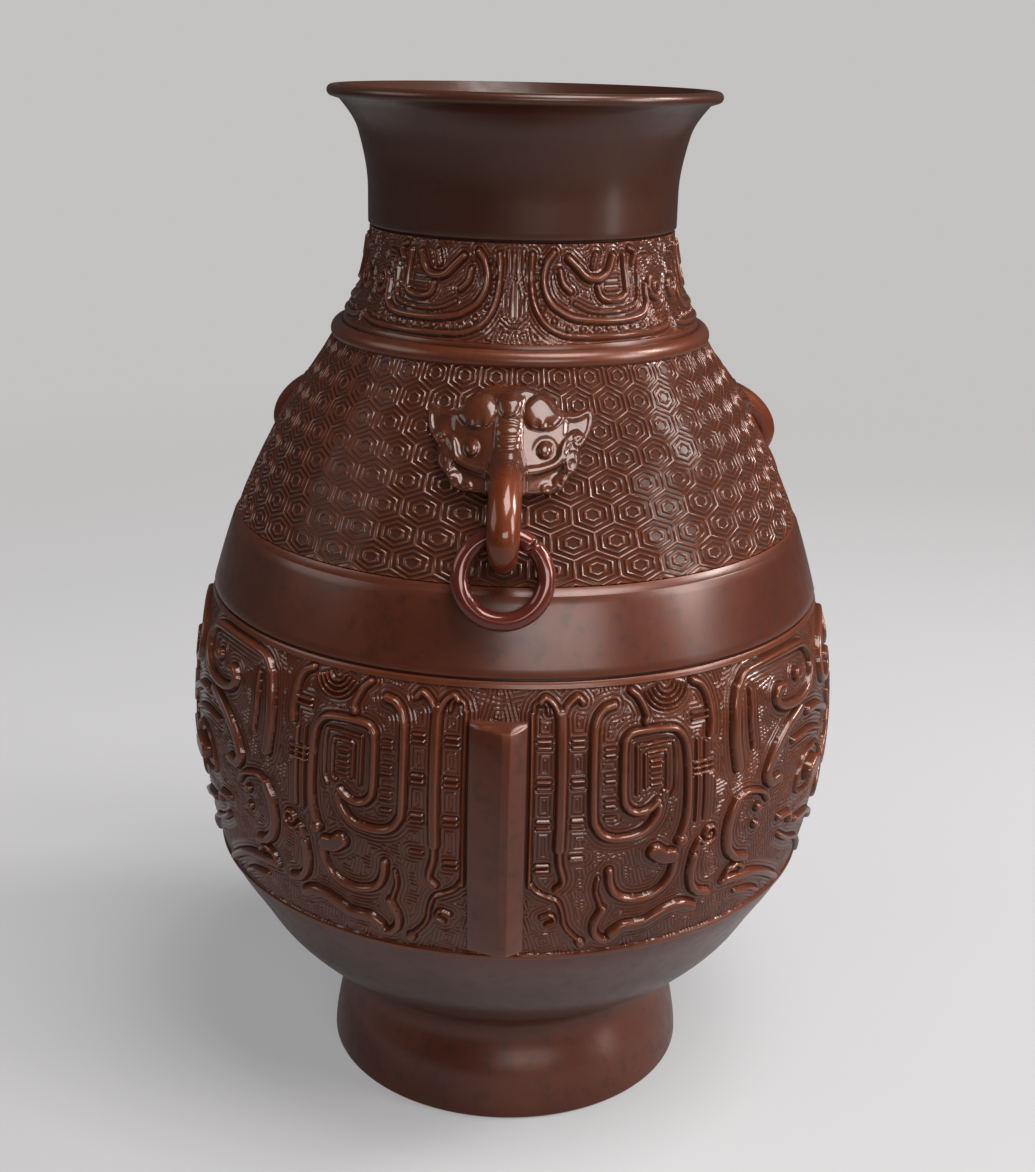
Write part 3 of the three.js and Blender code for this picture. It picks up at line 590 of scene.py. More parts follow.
belly_strokes = [
    (1.0, 0.35, [(5.4, 149), (5.6, 151), (6.6, 152), (7.6, 151), (7.8, 149)]),
    (1.1, 0.45, [(5.2, 149), (5.2, 105), (5.6, 101), (6.8, 98.5), (8.5, 97), (10, 95.5),
                 (10.8, 92), (11.2, 88.5), (11.9, 86), (13, 83.7), (14.2, 81.5), (14.4, 79.5)]),
    (1.1, 0.5, [(7.4, 90.5), (9, 91.3), (9.7, 89.3), (8.4, 88)]),
    (2.6, 0.6, [(14.3, 81.2), (14.5, 80.6)]),
    (2.8, 0.8, [(9.8, 112), (9.9, 130), (9.9, 149)]),
    (1.6, 0.75, [(9.8, 115), (9.9, 108), (10.7, 102), (9.6, 99.5)]),
    (1.7, 0.8, [(9.6, 148), (8.8, 151), (7.4, 152.9), (6.6, 151.8)]),
    (1.7, 0.8, [(10.1, 148), (11, 151), (12.5, 152.9), (13.4, 151.6)]),
    *levels_of(6.2, 8.2, (142, 140.3, 131, 129.3, 120, 118.3, 107, 105.3), 0.9, 0.2),
    *levels_of(11.7, 13.5, (142, 140.3, 131, 129.3, 120, 118.3, 109), 0.9, 0.2),
    (2.2, 0.85, [(18.5, 150.3), (16.6, 149.2), (15.4, 146), (15, 140), (15, 122), (15.6, 117.6),
                 (17.2, 114.7), (20, 113.8), (23.4, 115), (25.4, 118.6), (26, 121.6)]),
    (2.0, 0.75, [(19.9, 138), (19.9, 126), (20.6, 122.4), (22.2, 120.7), (24.2, 121.2),
                 (25.8, 123.2)]),
    *levels_of(17, 18.5, (139, 137.3, 132, 130.3, 125, 123.3, 120), 0.8, 0.0),
    (2.0, 0.85, [(19.9, 138), (20.2, 141), (21.8, 142.9), (27.6, 142.8), (29.8, 141.2),
                 (31, 137), (31.3, 128), (31.2, 118), (30.4, 112)]),
    (0.85, 0.1, [(22.4, 139), (27.8, 139.4), (28.9, 137.6), (29, 127.5), (28.3, 124)]),
    (0.85, 0.1, [(22.2, 139), (22.2, 126)]),
    (0.85, 0.1, [(24, 136.9), (26.6, 137), (27.4, 136), (27.4, 127), (26.6, 125.6)]),
    (0.85, 0.1, [(23.6, 136.5), (23.6, 127.5)]),
    *levels_of(24.6, 26.3, (134.4, 132.8, 131.2, 129.6, 128), 0.8, 0.1),
    *[(0.85, 0.45, arc((28, 154.6), out, 200, 340, BELLY_SCALE)) for out in (2.6, 4, 5.4, 6.8)],
    (1.8, 0.85, [(21.6, 153.6), (22.9, 151.5), (24, 147.2), (23.7, 145.3)]),
    (2.0, 0.85, [(33, 153.8), (34.6, 152.3), (35.6, 149), (35.9, 143), (35.6, 139)]),
    (0.9, 0.3, [(33.1, 138), (33.1, 115)]),
    (0.9, 0.3, [(34.8, 137), (34.8, 115)]),
    *levels_of(32.4, 36.2, (145.3, 143.7, 131.8, 130.2, 128.6), 0.9, 0.4),
    (4.6, 1.0, [(25.8, 108.2), (27.3, 106.3), (28.8, 106)]),
    (3.2, 1.5, [(30.2, 110.3), (30.5, 110.6)]),
    (1.3, 0.8, spiral((36, 110), 3.2, 1.4, 200, BELLY_SCALE)),
    (1.5, 0.7, [(33.2, 105.5), (34, 108.5)]),
    (2.1, 0.9, [(18.1, 104.2), (18.4, 100.5), (19.3, 97), (21, 94.9), (23.5, 94.1), (26, 94.7),
                (28, 96.8), (29.3, 100.5), (29.6, 104)]),
    (1.1, 0.5, [(16.4, 102), (16.2, 98), (17, 94), (17.3, 91.5), (16.3, 89), (16.1, 86.5)]),
    (2.2, 0.8, [(17.6, 92), (16.9, 89.5), (16.4, 86), (17, 83), (18.5, 81.2), (20, 82.2)]),
    (3.3, 1.0, [(19.8, 83.4), (21.5, 85.3), (23.6, 85.2), (25.5, 85.5), (27.5, 87.2),
                (29.8, 88.6), (32.2, 88.8), (34.5, 87.2)]),
    (2.5, 0.85, [(33.4, 104), (33.2, 99), (33.8, 94.5), (35.2, 91.7), (37.4, 90.4)]),
    (2.8, 0.95, [(41.6, 117.3), (40.4, 113), (40.1, 107.5), (40.9, 102.5), (42.8, 99),
                 (45.4, 97.6)]),
    (1.7, 0.85, [(41.6, 117.3), (43.4, 118.6), (46, 118), (48.4, 116.2), (49.6, 113.6)]),
    (2.5, 1.0, [(46.9, 112.6), (47.1, 112.4)]),
    (2.5, 1.0, [(46.9, 107.2), (47.1, 107)]),
    (1.6, 0.8, [(41, 92.5), (42, 95.3), (44.2, 95.8), (45.6, 94)]),
    (2.4, 0.85, [(41, 92), (44.5, 91.5), (49, 90.2), (54, 86.5), (60, 80.8)]),
    (1.5, 0.7, [(45, 86), (49, 84.6), (53, 81.2)]),
    (3.1, 1.0, [(41.6, 127), (41, 135), (41.3, 143.5), (42.2, 148.5)]),
    (2.6, 1.0, [(42.2, 148.5), (44.2, 151.6), (47.5, 152.6), (55, 153), (62, 152.4),
                (64.6, 151), (66, 147.5), (65.4, 143), (63.3, 139.7), (60, 138), (56, 138),
                (53, 139.6), (51.9, 142), (52.7, 144.2), (54.4, 144.2)]),
    (3.6, 1.1, [(59.5, 145.4), (59.9, 145.4)]),
    (1.2, 0.5, [(45.3, 147.5), (44.9, 139), (45.3, 131)]),
    (3.2, 0.95, [(60, 135.2), (55, 132), (51, 127), (49, 121.8), (50, 118.6), (52.4, 118.6)]),
    (6.4, 2.0, [(64.6, 113.4), (66.4, 114.4)]),
    (1.1, 0.6, [(59.6, 110.3), (64.5, 107.4), (70, 109.8), (71.6, 116), (67.5, 120.2),
                (61.6, 118.8), (59.6, 110.3)]),
    (2.6, 1.0, [(63, 132.8), (68, 131.4), (73.5, 127.4)]),
    (1.6, 0.8, [(57, 127), (64, 126.6), (70.5, 123)]),
    (3.2, 1.2, [(89, 134), (89, 105)]),
    (2.3, 1.0, [(87.3, 104), (82, 101), (79.8, 96), (83, 91.6), (86.4, 93.6), (85.3, 97)]),
    (1.6, 0.9, [(90, 148.5), (87.2, 143), (90, 137.6)]),
    (2.6, 0.95, [(84.5, 152), (78, 150.7), (72.8, 146), (71.8, 139), (76, 135.2), (80.4, 137),
                 (79.7, 141.8), (76.8, 141.6)]),
    (2.4, 0.95, [(83, 132), (84, 124), (82.4, 115), (79.5, 109.3), (75.5, 108.5), (73.4, 112),
                 (76, 115.8)]),
    (1.6, 0.8, [(77.5, 130), (79, 124.5), (77.5, 120.3)]),
    (2.3, 0.9, [(62, 99), (68, 97), (74.5, 92.5), (79, 87.5), (86, 85), (90, 86)]),
    (2.2, 0.9, [(54.5, 104.5), (58, 103.8), (59, 101)]),
    (1.7, 0.8, [(56, 98), (60, 94), (66, 90), (70, 84.5), (73, 80.2)]),
    (1.1, 0.6, spiral((84.2, 80.8), 2.0, 1.2, 90, BELLY_SCALE)),
]


def skin(name, s, z, height, scale, low, high, around):
    """A closed skin for a sector of the wall: the relief in front, the ends turned in to a depth
    below the wall, a plain back, and flat ends. If it goes all round it has no ends."""
    azimuth = s[:, :1] / scale
    back = np.linspace(high, low, BACK_ROWS + 2)[None, 1:-1]
    place = np.concatenate([np.full_like(azimuth, low), z, np.full_like(azimuth, high),
                            np.broadcast_to(back, (len(s), BACK_ROWS))], 1)
    proud = np.concatenate([np.full_like(azimuth, -RELIEF_DEPTH), height,
                            np.full((len(s), BACK_ROWS + 1), -RELIEF_DEPTH)], 1)
    points = on_wall(azimuth, place, proud)
    if around:
        return ring_mesh(name, points)
    return grid_object(name, points, grid_faces(points), grid_ends(points))


belly_rows = np.arange(BELLY_BAND_LOW + 0.5, PLAIN_BAND_LOW - 2.1, BELLY_STEP)
quarter_s, quarter_z = np.meshgrid(np.linspace(0, 90, BELLY_COLUMNS + 1) * BELLY_SCALE,
                                   belly_rows, indexing="ij")
quarter = relief(quarter_s, quarter_z, belly_strokes, BELLY_SCALE, BELLY_GROUND,
                 BELLY_LINE_PITCH, BELLY_LINE_TOP, BELLY_SQUARE)
quarter[:, 0] = quarter[:, -1] = BELLY_EDGE
half = np.concatenate([quarter, quarter[-2::-1]])
all_round = np.concatenate([half, half[1:]])
sector_columns = 4 * BELLY_COLUMNS // BELLY_SECTORS
for sector in range(BELLY_SECTORS):
    part = slice(sector * sector_columns, (sector + 1) * sector_columns + 1)
    azimuth = np.arange(part.start, part.stop) * 90 / BELLY_COLUMNS * BELLY_SCALE
    sector_s, sector_z = np.meshgrid(azimuth, belly_rows, indexing="ij")
    piece = skin(f"belly_band_{sector + 1}", sector_s, sector_z, all_round[part], BELLY_SCALE,
                 belly_rows[0], belly_rows[-1], False)
    piece.data.materials.append(relief_bronze)
    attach(piece, "vase")
    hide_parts("vase_body")


# The neck band is cast with the wall. Three pairs of small dragons curl in it, one pair to each
# head, and upright lines fill the gap above a head. One half of a pair is drawn and mirrored.

NECK_SCALE = 0.85
NECK_STEP = 0.3
NECK_GROUND = -0.75
NECK_LINE_PITCH = 1.0
NECK_LINE_TOP = -0.4
NECK_SQUARE = 4
NECK_COLUMNS = 164
DRAGON_PAIRS = 3

neck_strokes = [
    (1.4, 0.35, [(5.6, 259), (5.3, 252.5), (6.2, 247), (8, 243.5), (10.5, 241), (14, 239.4),
                 (18, 238.6), (26, 238.3), (35, 238.2), (44, 238.3), (52, 238.6), (57, 239.5)]),
    (1.7, 0.45, [(13, 259.4), (10.8, 257), (9.5, 253), (10.2, 249.2), (12.2, 246.4),
                 (15.4, 244.4), (19, 243), (25, 242.2), (34, 241.9), (42, 242.2), (46.4, 243.3),
                 (48.8, 245.6), (49.3, 250)]),
    (1.0, 0.2, [(20, 246.5), (26, 244.4), (34, 244.1), (41, 244.8), (44.4, 246.4), (45.6, 250),
                (46, 254), (47.5, 257), (52, 257.6)]),
    (1.6, 0.45, [(28.6, 250.6), (29.4, 248.2), (31.4, 247.2), (35.4, 247), (39, 247.8),
                 (40.2, 250), (40, 258.4)]),
    *levels_of(32, 37, (249.7, 251.4, 253), 0.8, 0),
    (2.0, 0.6, [(18.3, 258), (21.5, 255.6), (24.6, 253.2), (28, 252.5), (31, 253),
                (33.4, 254.8), (35.3, 258.2)]),
    (1.5, 0.55, [(27.3, 255.6), (28.4, 258.8)]),
    (1.7, 0.6, spiral((54.5, 249), 3.4, 1.2, 120, NECK_SCALE)),
    (1.5, 0.5, [(42.6, 260), (45.3, 259), (44, 256)]),
    (1.6, 0.4, [(15.2, 254.8), (16.2, 251.6), (18.6, 249.6)]),
    *[(1.2, 0.15, [(angle, 240.2), (angle + 0.1, 240.2)]) for angle in np.arange(17, 56, 4.5)],
    *[(1.2, 0.15, [(angle, height), (angle, height + 0.1)])
      for angle, height in ((12.6, 242.3), (9, 245.4), (7.5, 249), (7.3, 253), (8.6, 257))],
    (0.7, -0.25, [(0.7, 243), (0.7, 252)]),
    (0.7, -0.25, [(2.3, 244), (2.3, 248.5), (0.8, 254), (0.8, 260)]),
    (0.7, -0.25, [(3.9, 250), (2.6, 254.5), (2.6, 260)]),
]
neck_rows = np.arange(NECK_BAND_LOW + 0.8, NECK_LOW - 0.55, NECK_STEP)
unit_s, unit_z = np.meshgrid(np.linspace(0, 60, NECK_COLUMNS + 1) * NECK_SCALE, neck_rows,
                             indexing="ij")
unit = relief(unit_s, unit_z, neck_strokes, NECK_SCALE, NECK_GROUND, NECK_LINE_PITCH,
              NECK_LINE_TOP, NECK_SQUARE)
pair = np.concatenate([unit[:-1], unit[:0:-1]])
neck_height = np.concatenate([pair] * DRAGON_PAIRS)
neck_s, neck_z = np.meshgrid(np.arange(2 * DRAGON_PAIRS * NECK_COLUMNS) * 60 / NECK_COLUMNS
                             * NECK_SCALE, neck_rows, indexing="ij")
neck_band = skin("neck_band", neck_s, neck_z, neck_height, NECK_SCALE, neck_rows[0],
                 neck_rows[-1], True)
neck_band.data.materials.append(relief_bronze)
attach(neck_band, "vase")
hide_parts("vase_body")


# The two ridges are cast bars of roof shape that follow the belly in front and behind, one for
# each mask face's nose line. The top flat lies a little to the right and is rubbed bright.

RIDGE_LOW = 79.8
RIDGE_HIGH = 147
RIDGE_BEVEL = 1.6

RIDGE_PATINA = (0.10, 0.021, 0.008)
RIDGE_RUBBED = (0.19, 0.046, 0.018)
RIDGE_HOLLOW = (0.03, 0.009, 0.006)

ridge_outline = np.array([[-7.5, -1.2], [-7.5, 0.75], [-7.35, 0.93], [-3.2, 2.5], [0.8, 4.1],
                          [1.0, 4.2], [1.25, 4.2], [2.95, 4.2], [3.2, 4.18], [3.4, 4.05],
                          [5.2, 2.6], [7.35, 0.93], [7.5, 0.75], [7.5, -1.2], [2.5, -1.2],
                          [-2.5, -1.2]])
ridge_rows = np.concatenate([rows(RIDGE_LOW, RIDGE_HIGH - 1.8, 1.5), [RIDGE_HIGH - 1.6],
                             RIDGE_HIGH - np.array([1.2, 0.6, 0.25, 0.05, 0])])


def tube_mesh(name, points):
    """A closed skin from a grid of points that wraps round in its second way only, the other
    way about than a ring's, with a flat face at each end."""
    return grid_object(name, points, grid_faces(points)[:, [0, 3, 2, 1]],
                       [end[::-1] for end in grid_ends(points)])


def about_axis(points, degrees):
    """Points turned about the axis of the vase."""
    c, s = np.cos(np.radians(degrees)), np.sin(np.radians(degrees))
    return points @ np.array([[c, s, 0], [-s, c, 0], [0, 0, 1]])


def ridge_points():
    """The outline is carried up the wall. Its height falls in a bevel at the upper end."""
    z, side = np.meshgrid(ridge_rows, ridge_outline[:, 0], indexing="ij")
    proud = np.broadcast_to(ridge_outline[:, 1], z.shape)
    proud = np.minimum(proud, 0.9 + 3.3 * np.clip((RIDGE_HIGH - z) / RIDGE_BEVEL, 0, 1))
    radius, slope = wall_radius(z)
    out = radius + proud * np.hypot(1, slope)
    return np.stack([side, -np.sqrt(out ** 2 - side ** 2), z], -1)


ridge_bronze = bronze("ridge bronze", RIDGE_PATINA, RIDGE_RUBBED, RIDGE_HOLLOW, 0.4, 0.25,
                      wax=0.2)[0]
for side, turn in (("front", 0), ("back", 180)):
    piece = tube_mesh(f"ridge_bar_{side}", about_axis(ridge_points(), turn))
    piece.data.materials.append(ridge_bronze)
    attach(piece, "vase")
    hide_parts(f"ridge_{side}")


# Three elephant heads sit on the shoulder, a third of a turn apart. Each is a casting with its
# trunk, polished by touch, and is held by a rivet from inside. The mask is a height field over
# the wall, and the trunk a bent tube with a round tip that carries the ring.

HEAD_MIDDLE = 214.3
HEAD_BACK = -1.4
HEAD_STEP = 0.3
HEAD_EDGE = 1.4
HOOK_OUT = 82.529
HOOK_HEIGHT = 193.4
HOOK_INSIDE = 2.75
HOOK_TURN = 105
TRUNK_ROOT = 4.6
TRUNK_BEND = 4.2
TRUNK_TIP = 3.2
TRUNK_FOLD = 0.85

HEAD_PATINA = (0.075, 0.017, 0.006)
HEAD_RUBBED = (0.20, 0.048, 0.014)
HEAD_HOLLOW = (0.020, 0.008, 0.005)
TRUNK_TINT = (0.17, 0.030, 0.006)

head_half_outline = [(0, 12.5), (4, 12.4), (7.6, 11.4), (10.4, 9.8), (12.4, 7.6), (14, 6.5),
                     (17, 6.1), (20.9, 7.3), (21.9, 5), (21.5, 2), (20.2, -0.6), (18.8, -2.6),
                     (18.8, -5.2), (17.6, -7.4), (15.8, -9.1), (14.4, -11.2), (12.2, -12.3),
                     (6, -12.5), (0, -12.5)]


def dome(x, z, middle, reach, power=1.0):
    """A dome of height 1 over an ellipse, the steeper at its edge the lower its power."""
    inside = 1 - ((x - middle[0]) / reach[0]) ** 2 - ((z - middle[1]) / reach[1]) ** 2
    return np.clip(inside, 0, 1) ** (power / 2)


def mask_height(x, z):
    """How far the mask stands proud of the wall at each point, beside its outline's distance,
    which is less than 0 inside. All features mirror at the middle."""
    a = np.abs(x)
    right = np.array(head_half_outline)
    outline = np.concatenate([right, right[-2:0:-1] * [-1, 1], right[:1]])
    edge = np.abs(drawn(x, z, [(0, 0, outline)], 1)[0])
    path = smooth_path(outline)
    p, q = path[:-1], path[1:]
    crosses = (p[:, 1] > z[..., None]) != (q[:, 1] > z[..., None])
    rise = np.where(q[:, 1] == p[:, 1], 1e-9, q[:, 1] - p[:, 1])
    at = p[:, 0] + (z[..., None] - p[:, 1]) / rise * (q[:, 0] - p[:, 0])
    inside = (crosses & (x[..., None] < at)).sum(-1) % 2 == 1
    edge = np.where(inside, -edge, edge)

    # The face leans back and is fuller in its middle. A thin raised line runs along the jaw, and
    # the face is lower below it.
    height = 1.9 - 0.15 * z + 1.6 * np.exp(-(a / 11) ** 2)
    jaw = drawn(a, z, [(0, 0, [(3.6, -6.6), (5.4, -6.2), (8.6, -5.9), (12, -5), (13.8, -3.4),
                               (14.4, -1.2), (15.6, 0.6), (17.2, 1.4)])], 1)[0]
    height -= np.clip((a - 9) * 0.35 - 6.4 - z, 0, 1) * np.clip((15 - a) / 2, 0, 1)
    height += np.sqrt(np.clip(1 - (jaw / 1.1) ** 2, 0, 1))
    # The ears are sunk within their edges.
    ear = np.clip((a - 14) / 1.2, 0, 1) * np.clip((z + 1) / 2, 0, 1)
    height -= 0.8 * ear * np.clip(-edge - 0.8, 0, 1)
    # Each brow is a dome with tufts along its lower edge, and each eye a boss in a shallow dip.
    lobe = dome(a, z, (8.7, 6.8), (5.3, 4.1), 0.8)
    tufts = np.cos(2.2 * (a - 8.7)) * np.exp(-((z - 3.9 + 0.05 * (a - 8) ** 2) / 1.1) ** 2)
    height += (1.7 + 0.35 * tufts) * lobe
    height -= 0.35 * dome(a, z, (9.5, -1.5), (3.4, 2.9))
    height += 1.9 * dome(a, z, (9.5, -1.6), (1.9, 1.9))
    # The nose widens downwards to the trunk's root. It has a boss on the crown and five folds.
    width = 3.4 + 1.6 * np.clip((-z - 1) / 5, 0, 1) + 0.5 * np.clip((z - 4) / 4, 0, 1)
    bridge = np.sqrt(np.clip(1 - (a / width) ** 2, 0, 1))
    height += (2.1 - 0.9 * np.clip((z - 2) / 6, 0, 1)) * bridge * np.clip((11.6 - z) / 2, 0, 1)
    height += 2.2 * bridge * np.clip((1.5 - z) / 5, 0, 1)
    height += 1.3 * dome(a, z, (0, 8.8), (3.2, 2.9), 0.9)
    for level, bow in ((5.6, 0.10), (4.3, 0.07), (1.9, 0.0), (0.6, -0.02), (-0.9, -0.03)):
        height -= 0.6 * np.exp(-((z - level + bow * a * a) / 0.34) ** 2) * bridge
    # Four round scrolls, sunk in their middles, lie along the cheek's edge.
    for middle, reach, rise in (((18.2, 0.2), (1.8, 1.6), 0.7), ((16.6, -4.8), (2.4, 3.0), 1.1),
                                ((13.9, -9.2), (2.2, 2.1), 1.1), ((10.6, -10.4), (1.9, 1.4), 0.6)):
        height += rise * dome(a, z, middle, reach)
        height -= 0.5 * dome(a, z, middle, (reach[0] * 0.4, reach[1] * 0.4))
    rounded = np.sqrt(1 - (1 - np.clip(-edge / HEAD_EDGE, 0, 1)) ** 2)
    return HEAD_BACK + (height - HEAD_BACK) * rounded, edge


def trunk_path():
    """The middle line of the trunk as distance from the axis and height, with its radius: a
    cubic from the root to the front of the hook, then an arc round the ring's rod."""
    root = np.array([wall_radius(np.array([HEAD_MIDDLE]))[0][0] + 2, HEAD_MIDDLE - 6])
    bend = np.array([HOOK_OUT + HOOK_INSIDE + TRUNK_BEND, HOOK_HEIGHT])
    t = np.linspace(0, 1, 50)[:, None]
    fall = ((1 - t) ** 3 * root + 3 * (1 - t) ** 2 * t * (root + [8.5, 0])
            + 3 * (1 - t) * t ** 2 * (bend + [0, 7]) + t ** 3 * bend)
    turn = np.linspace(0, 1, 30)[1:]
    radius = np.concatenate([TRUNK_ROOT + (TRUNK_BEND - TRUNK_ROOT) * t[:, 0],
                             TRUNK_BEND + (TRUNK_TIP - TRUNK_BEND) * turn])
    reach = HOOK_INSIDE + radius[len(t):]
    angle = np.radians(HOOK_TURN) * turn
    curl = np.stack([HOOK_OUT + reach * np.cos(angle), HOOK_HEIGHT - reach * np.sin(angle)], -1)
    return np.concatenate([fall, curl]), radius


def trunk_points(around=40):
    """Rings of points about the middle line. Its tip is drawn in to a round end."""
    path, radius = trunk_path()
    along = np.gradient(path, axis=0)
    along /= np.linalg.norm(along, axis=1)[:, None]
    tip = np.radians(np.linspace(0, 88, 8))[1:]
    path = np.concatenate([path, path[-1] + along[-1] * radius[-1] * 0.6 * np.sin(tip)[:, None]])
    radius = np.concatenate([radius, radius[-1] * np.cos(tip)])
    along = np.concatenate([along, np.repeat(along[-1:], len(tip), 0)])
    turn = np.linspace(0, 2 * np.pi, around, endpoint=False)
    side = radius[:, None] * np.sin(turn)
    off = radius[:, None] * np.cos(turn)
    out = path[:, :1] + off * along[:, 1:]
    up = path[:, 1:] - off * along[:, :1]
    return np.stack([side, -out, up], -1)


def head_mesh():
    """Joins the mask, which is a front and a back sheet with a rim between them, and the trunk
    into one closed skin, and rounds the joint over."""
    x, z = np.meshgrid(np.arange(-23.1, 23.2, HEAD_STEP), np.arange(-13.5, 13.6, HEAD_STEP),
                       indexing="ij")
    height, edge = mask_height(x, z)
    kept = edge < 0.5
    kept = kept[:-1, :-1] & kept[1:, :-1] & kept[1:, 1:] & kept[:-1, 1:]
    radius = wall_radius(z + HEAD_MIDDLE)[0]
    layers = [np.stack([x, -np.sqrt((radius + proud) ** 2 - x ** 2), z + HEAD_MIDDLE], -1)
              for proud in (np.maximum(height, HEAD_BACK + 0.2), np.full_like(x, HEAD_BACK))]
    up = x.shape[1]
    i, j = np.nonzero(kept)
    corner = np.stack([i * up + j, (i + 1) * up + j, (i + 1) * up + j + 1, i * up + j + 1], -1)
    behind = x.size
    faces = [corner, corner[:, ::-1] + behind]
    framed = np.pad(kept, 1)
    for k, (di, dj) in enumerate(((0, -1), (1, 0), (0, 1), (-1, 0))):
        bare = ~framed[i + 1 + di, j + 1 + dj]
        first, second = corner[bare, k], corner[bare, (k + 1) % 4]
        faces.append(np.stack([second, first, first + behind, second + behind], -1))
    trunk = trunk_points()
    start = 2 * behind
    faces.append(start + grid_faces(trunk))
    ends = [start + end for end in grid_ends(trunk)]
    points = np.concatenate([*(layer.reshape(-1, 3) for layer in layers), trunk.reshape(-1, 3)])
    mesh = raw_mesh("head", points, np.concatenate(faces), ends)
    tidy = bmesh.new()
    tidy.from_mesh(mesh)
    loose = [vertex for vertex in tidy.verts if not vertex.link_faces]
    bmesh.ops.delete(tidy, geom=loose, context="VERTS")
    tidy.to_mesh(mesh)
    tidy.free()
    rough = bpy.data.objects.new("head", mesh)
    bpy.context.scene.collection.objects.link(rough)
    blend = rough.modifiers.new("one skin", "REMESH")
    blend.mode = "VOXEL"
    blend.voxel_size = HEAD_STEP * METRE
    whole = bpy.data.meshes.new_from_object(rough.evaluated_get(
        bpy.context.evaluated_depsgraph_get()))
    bpy.data.objects.remove(rough)
    place, a, b, near = neighbourhood(whole, 1)
    return spread_out(place, a, b, near, 3), whole


def along_trunk(points):
    """How far along the trunk each point lies, in mm, or 0 where it isn't on the trunk."""
    path, radius = trunk_path()
    length = np.concatenate([[0], np.cumsum(np.linalg.norm(np.diff(path, axis=0), axis=1))])
    apart = np.hypot(-points[:, 1:2] - path[:, 0], points[:, 2:] - path[:, 1])
    nearest = apart.argmin(1)
    close = np.hypot(apart.min(1), points[:, 0]) < radius[nearest] + 1.2
    return np.where(close, length[nearest], 0)


# The trunk is rubbed to a warmer brown than the face, and fine folds cross its upper half.
head_bronze, shader, colour, bump = bronze("head bronze", HEAD_PATINA, HEAD_RUBBED, HEAD_HOLLOW,
                                           0.4, 0.25, 0.08)
tree = head_bronze.node_tree
length = node(tree, "Attribute", {"attribute_name": "trunk"}).outputs["Fac"]
tinted = maths(tree, "MULTIPLY", ramped(tree, length, 5, 14), 0.9)
tree.links.new(mixed(tree, tinted, colour, (*TRUNK_TINT, 1)), shader.inputs["Base Color"])
folds = maths(tree, "SINE", maths(tree, "MULTIPLY", length, 2 * np.pi / TRUNK_FOLD))
shown = maths(tree, "MULTIPLY", ramped(tree, length, 3, 5), ramped(tree, length, 15, 11))
folded = node(tree, "Bump", Height=maths(tree, "MULTIPLY", folds, shown), Distance=0.09 * METRE,
              Normal=bump)
tree.links.new(folded.outputs[0], shader.inputs["Normal"])

head_place, head_whole = head_mesh()
trunk_length = along_trunk(head_place)
for side, turn in (("front", 0), ("right", 120), ("left", 240)):
    mesh = head_whole.copy()
    mesh.vertices.foreach_set("co", (about_axis(head_place, turn) * METRE).astype(
        np.float32).ravel())
    mesh.update()
    length = mesh.attributes.new("trunk", "FLOAT", "POINT")
    length.data.foreach_set("value", trunk_length.astype(np.float32))
    piece = finished(f"elephant_head_{side}", mesh)
    piece.data.materials.append(head_bronze)
    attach(piece, "vase")
    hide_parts(f"head_{side}")


# Each trunk carries a loose ring, bent from a rod of polished bronze. The saw cut between its
# ends is left open at the upper right. At rest the ring leans on the plain band.

RING_REACH = 11.05
RING_ROD = 2.45
RING_CUT = 40.5
RING_CUT_WIDTH = 1.0
RING_LEAN = 17.688

RING_PATINA = (0.12, 0.020, 0.013)
RING_RUBBED = (0.21, 0.042, 0.026)
RING_HOLLOW = (0.03, 0.010, 0.008)


def ring_points(rings=120, around=36):
    """A circle of the rod's section carried round the ring from one face of the cut to the
    other, its sharp ends broken by 0.2 mm. The ring leans back about the top of its rod."""
    gap = np.degrees(RING_CUT_WIDTH / 2 / RING_REACH)
    round_end = np.array([0, 0.35, 1.0])
    angle = np.concatenate([RING_CUT + gap + round_end, np.linspace(RING_CUT + gap + 4,
                            RING_CUT + 356 - gap, rings), RING_CUT + 360 - gap
                            - round_end[::-1]])
    rod = RING_ROD - np.concatenate([[0.22, 0.06, 0], np.zeros(rings), [0, 0.06, 0.22]])
    angle, rod = np.radians(angle)[:, None], rod[:, None]
    turn = np.linspace(0, 2 * np.pi, around, endpoint=False)
    lean = np.radians(RING_LEAN)
    reach = RING_REACH + rod * np.cos(turn)
    fall = RING_REACH - reach * np.cos(angle)
    off = rod * np.sin(turn)
    out = HOOK_OUT + fall * np.sin(lean) + off * np.cos(lean)
    up = HOOK_HEIGHT - fall * np.cos(lean) + off * np.sin(lean)
    return np.stack([reach * np.sin(angle), -out, up], -1)


ring_bronze = bronze("ring bronze", RING_PATINA, RING_RUBBED, RING_HOLLOW, 0.22, 0.3, 0.01,
                     0.07)[0]
for side, turn in (("front", 0), ("right", 120), ("left", 240)):
    piece = tube_mesh(f"loose_ring_{side}", about_axis(ring_points(), turn))
    piece.data.materials.append(ring_bronze)
    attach(piece, f"{side}_ring")
    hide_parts(f"ring_{side}")


# The bottom is a bronze disc let into the foot from below, and a rivet through the wall holds
# each head. They are dull as cast, and their solids are shown as the CAD has them.

BARE_PATINA = (0.12, 0.07, 0.04)
BARE_RUBBED = (0.2, 0.12, 0.07)
BARE_HOLLOW = (0.04, 0.025, 0.015)

bare_bronze = bronze("bare bronze", BARE_PATINA, BARE_RUBBED, BARE_HOLLOW, 0.5, 0.6)[0]
for name in ("base_plate", "rivet_front", "rivet_right", "rivet_left"):
    casting = bpy.data.objects[name]
    casting.data.materials.clear()
    casting.data.materials.append(bare_bronze)


# The vase stands on a plain pale matt floor, which fades out into a pale backdrop and is clear from
# below, so it hides the vase from no side. What lights the vase from both is a dim grey.

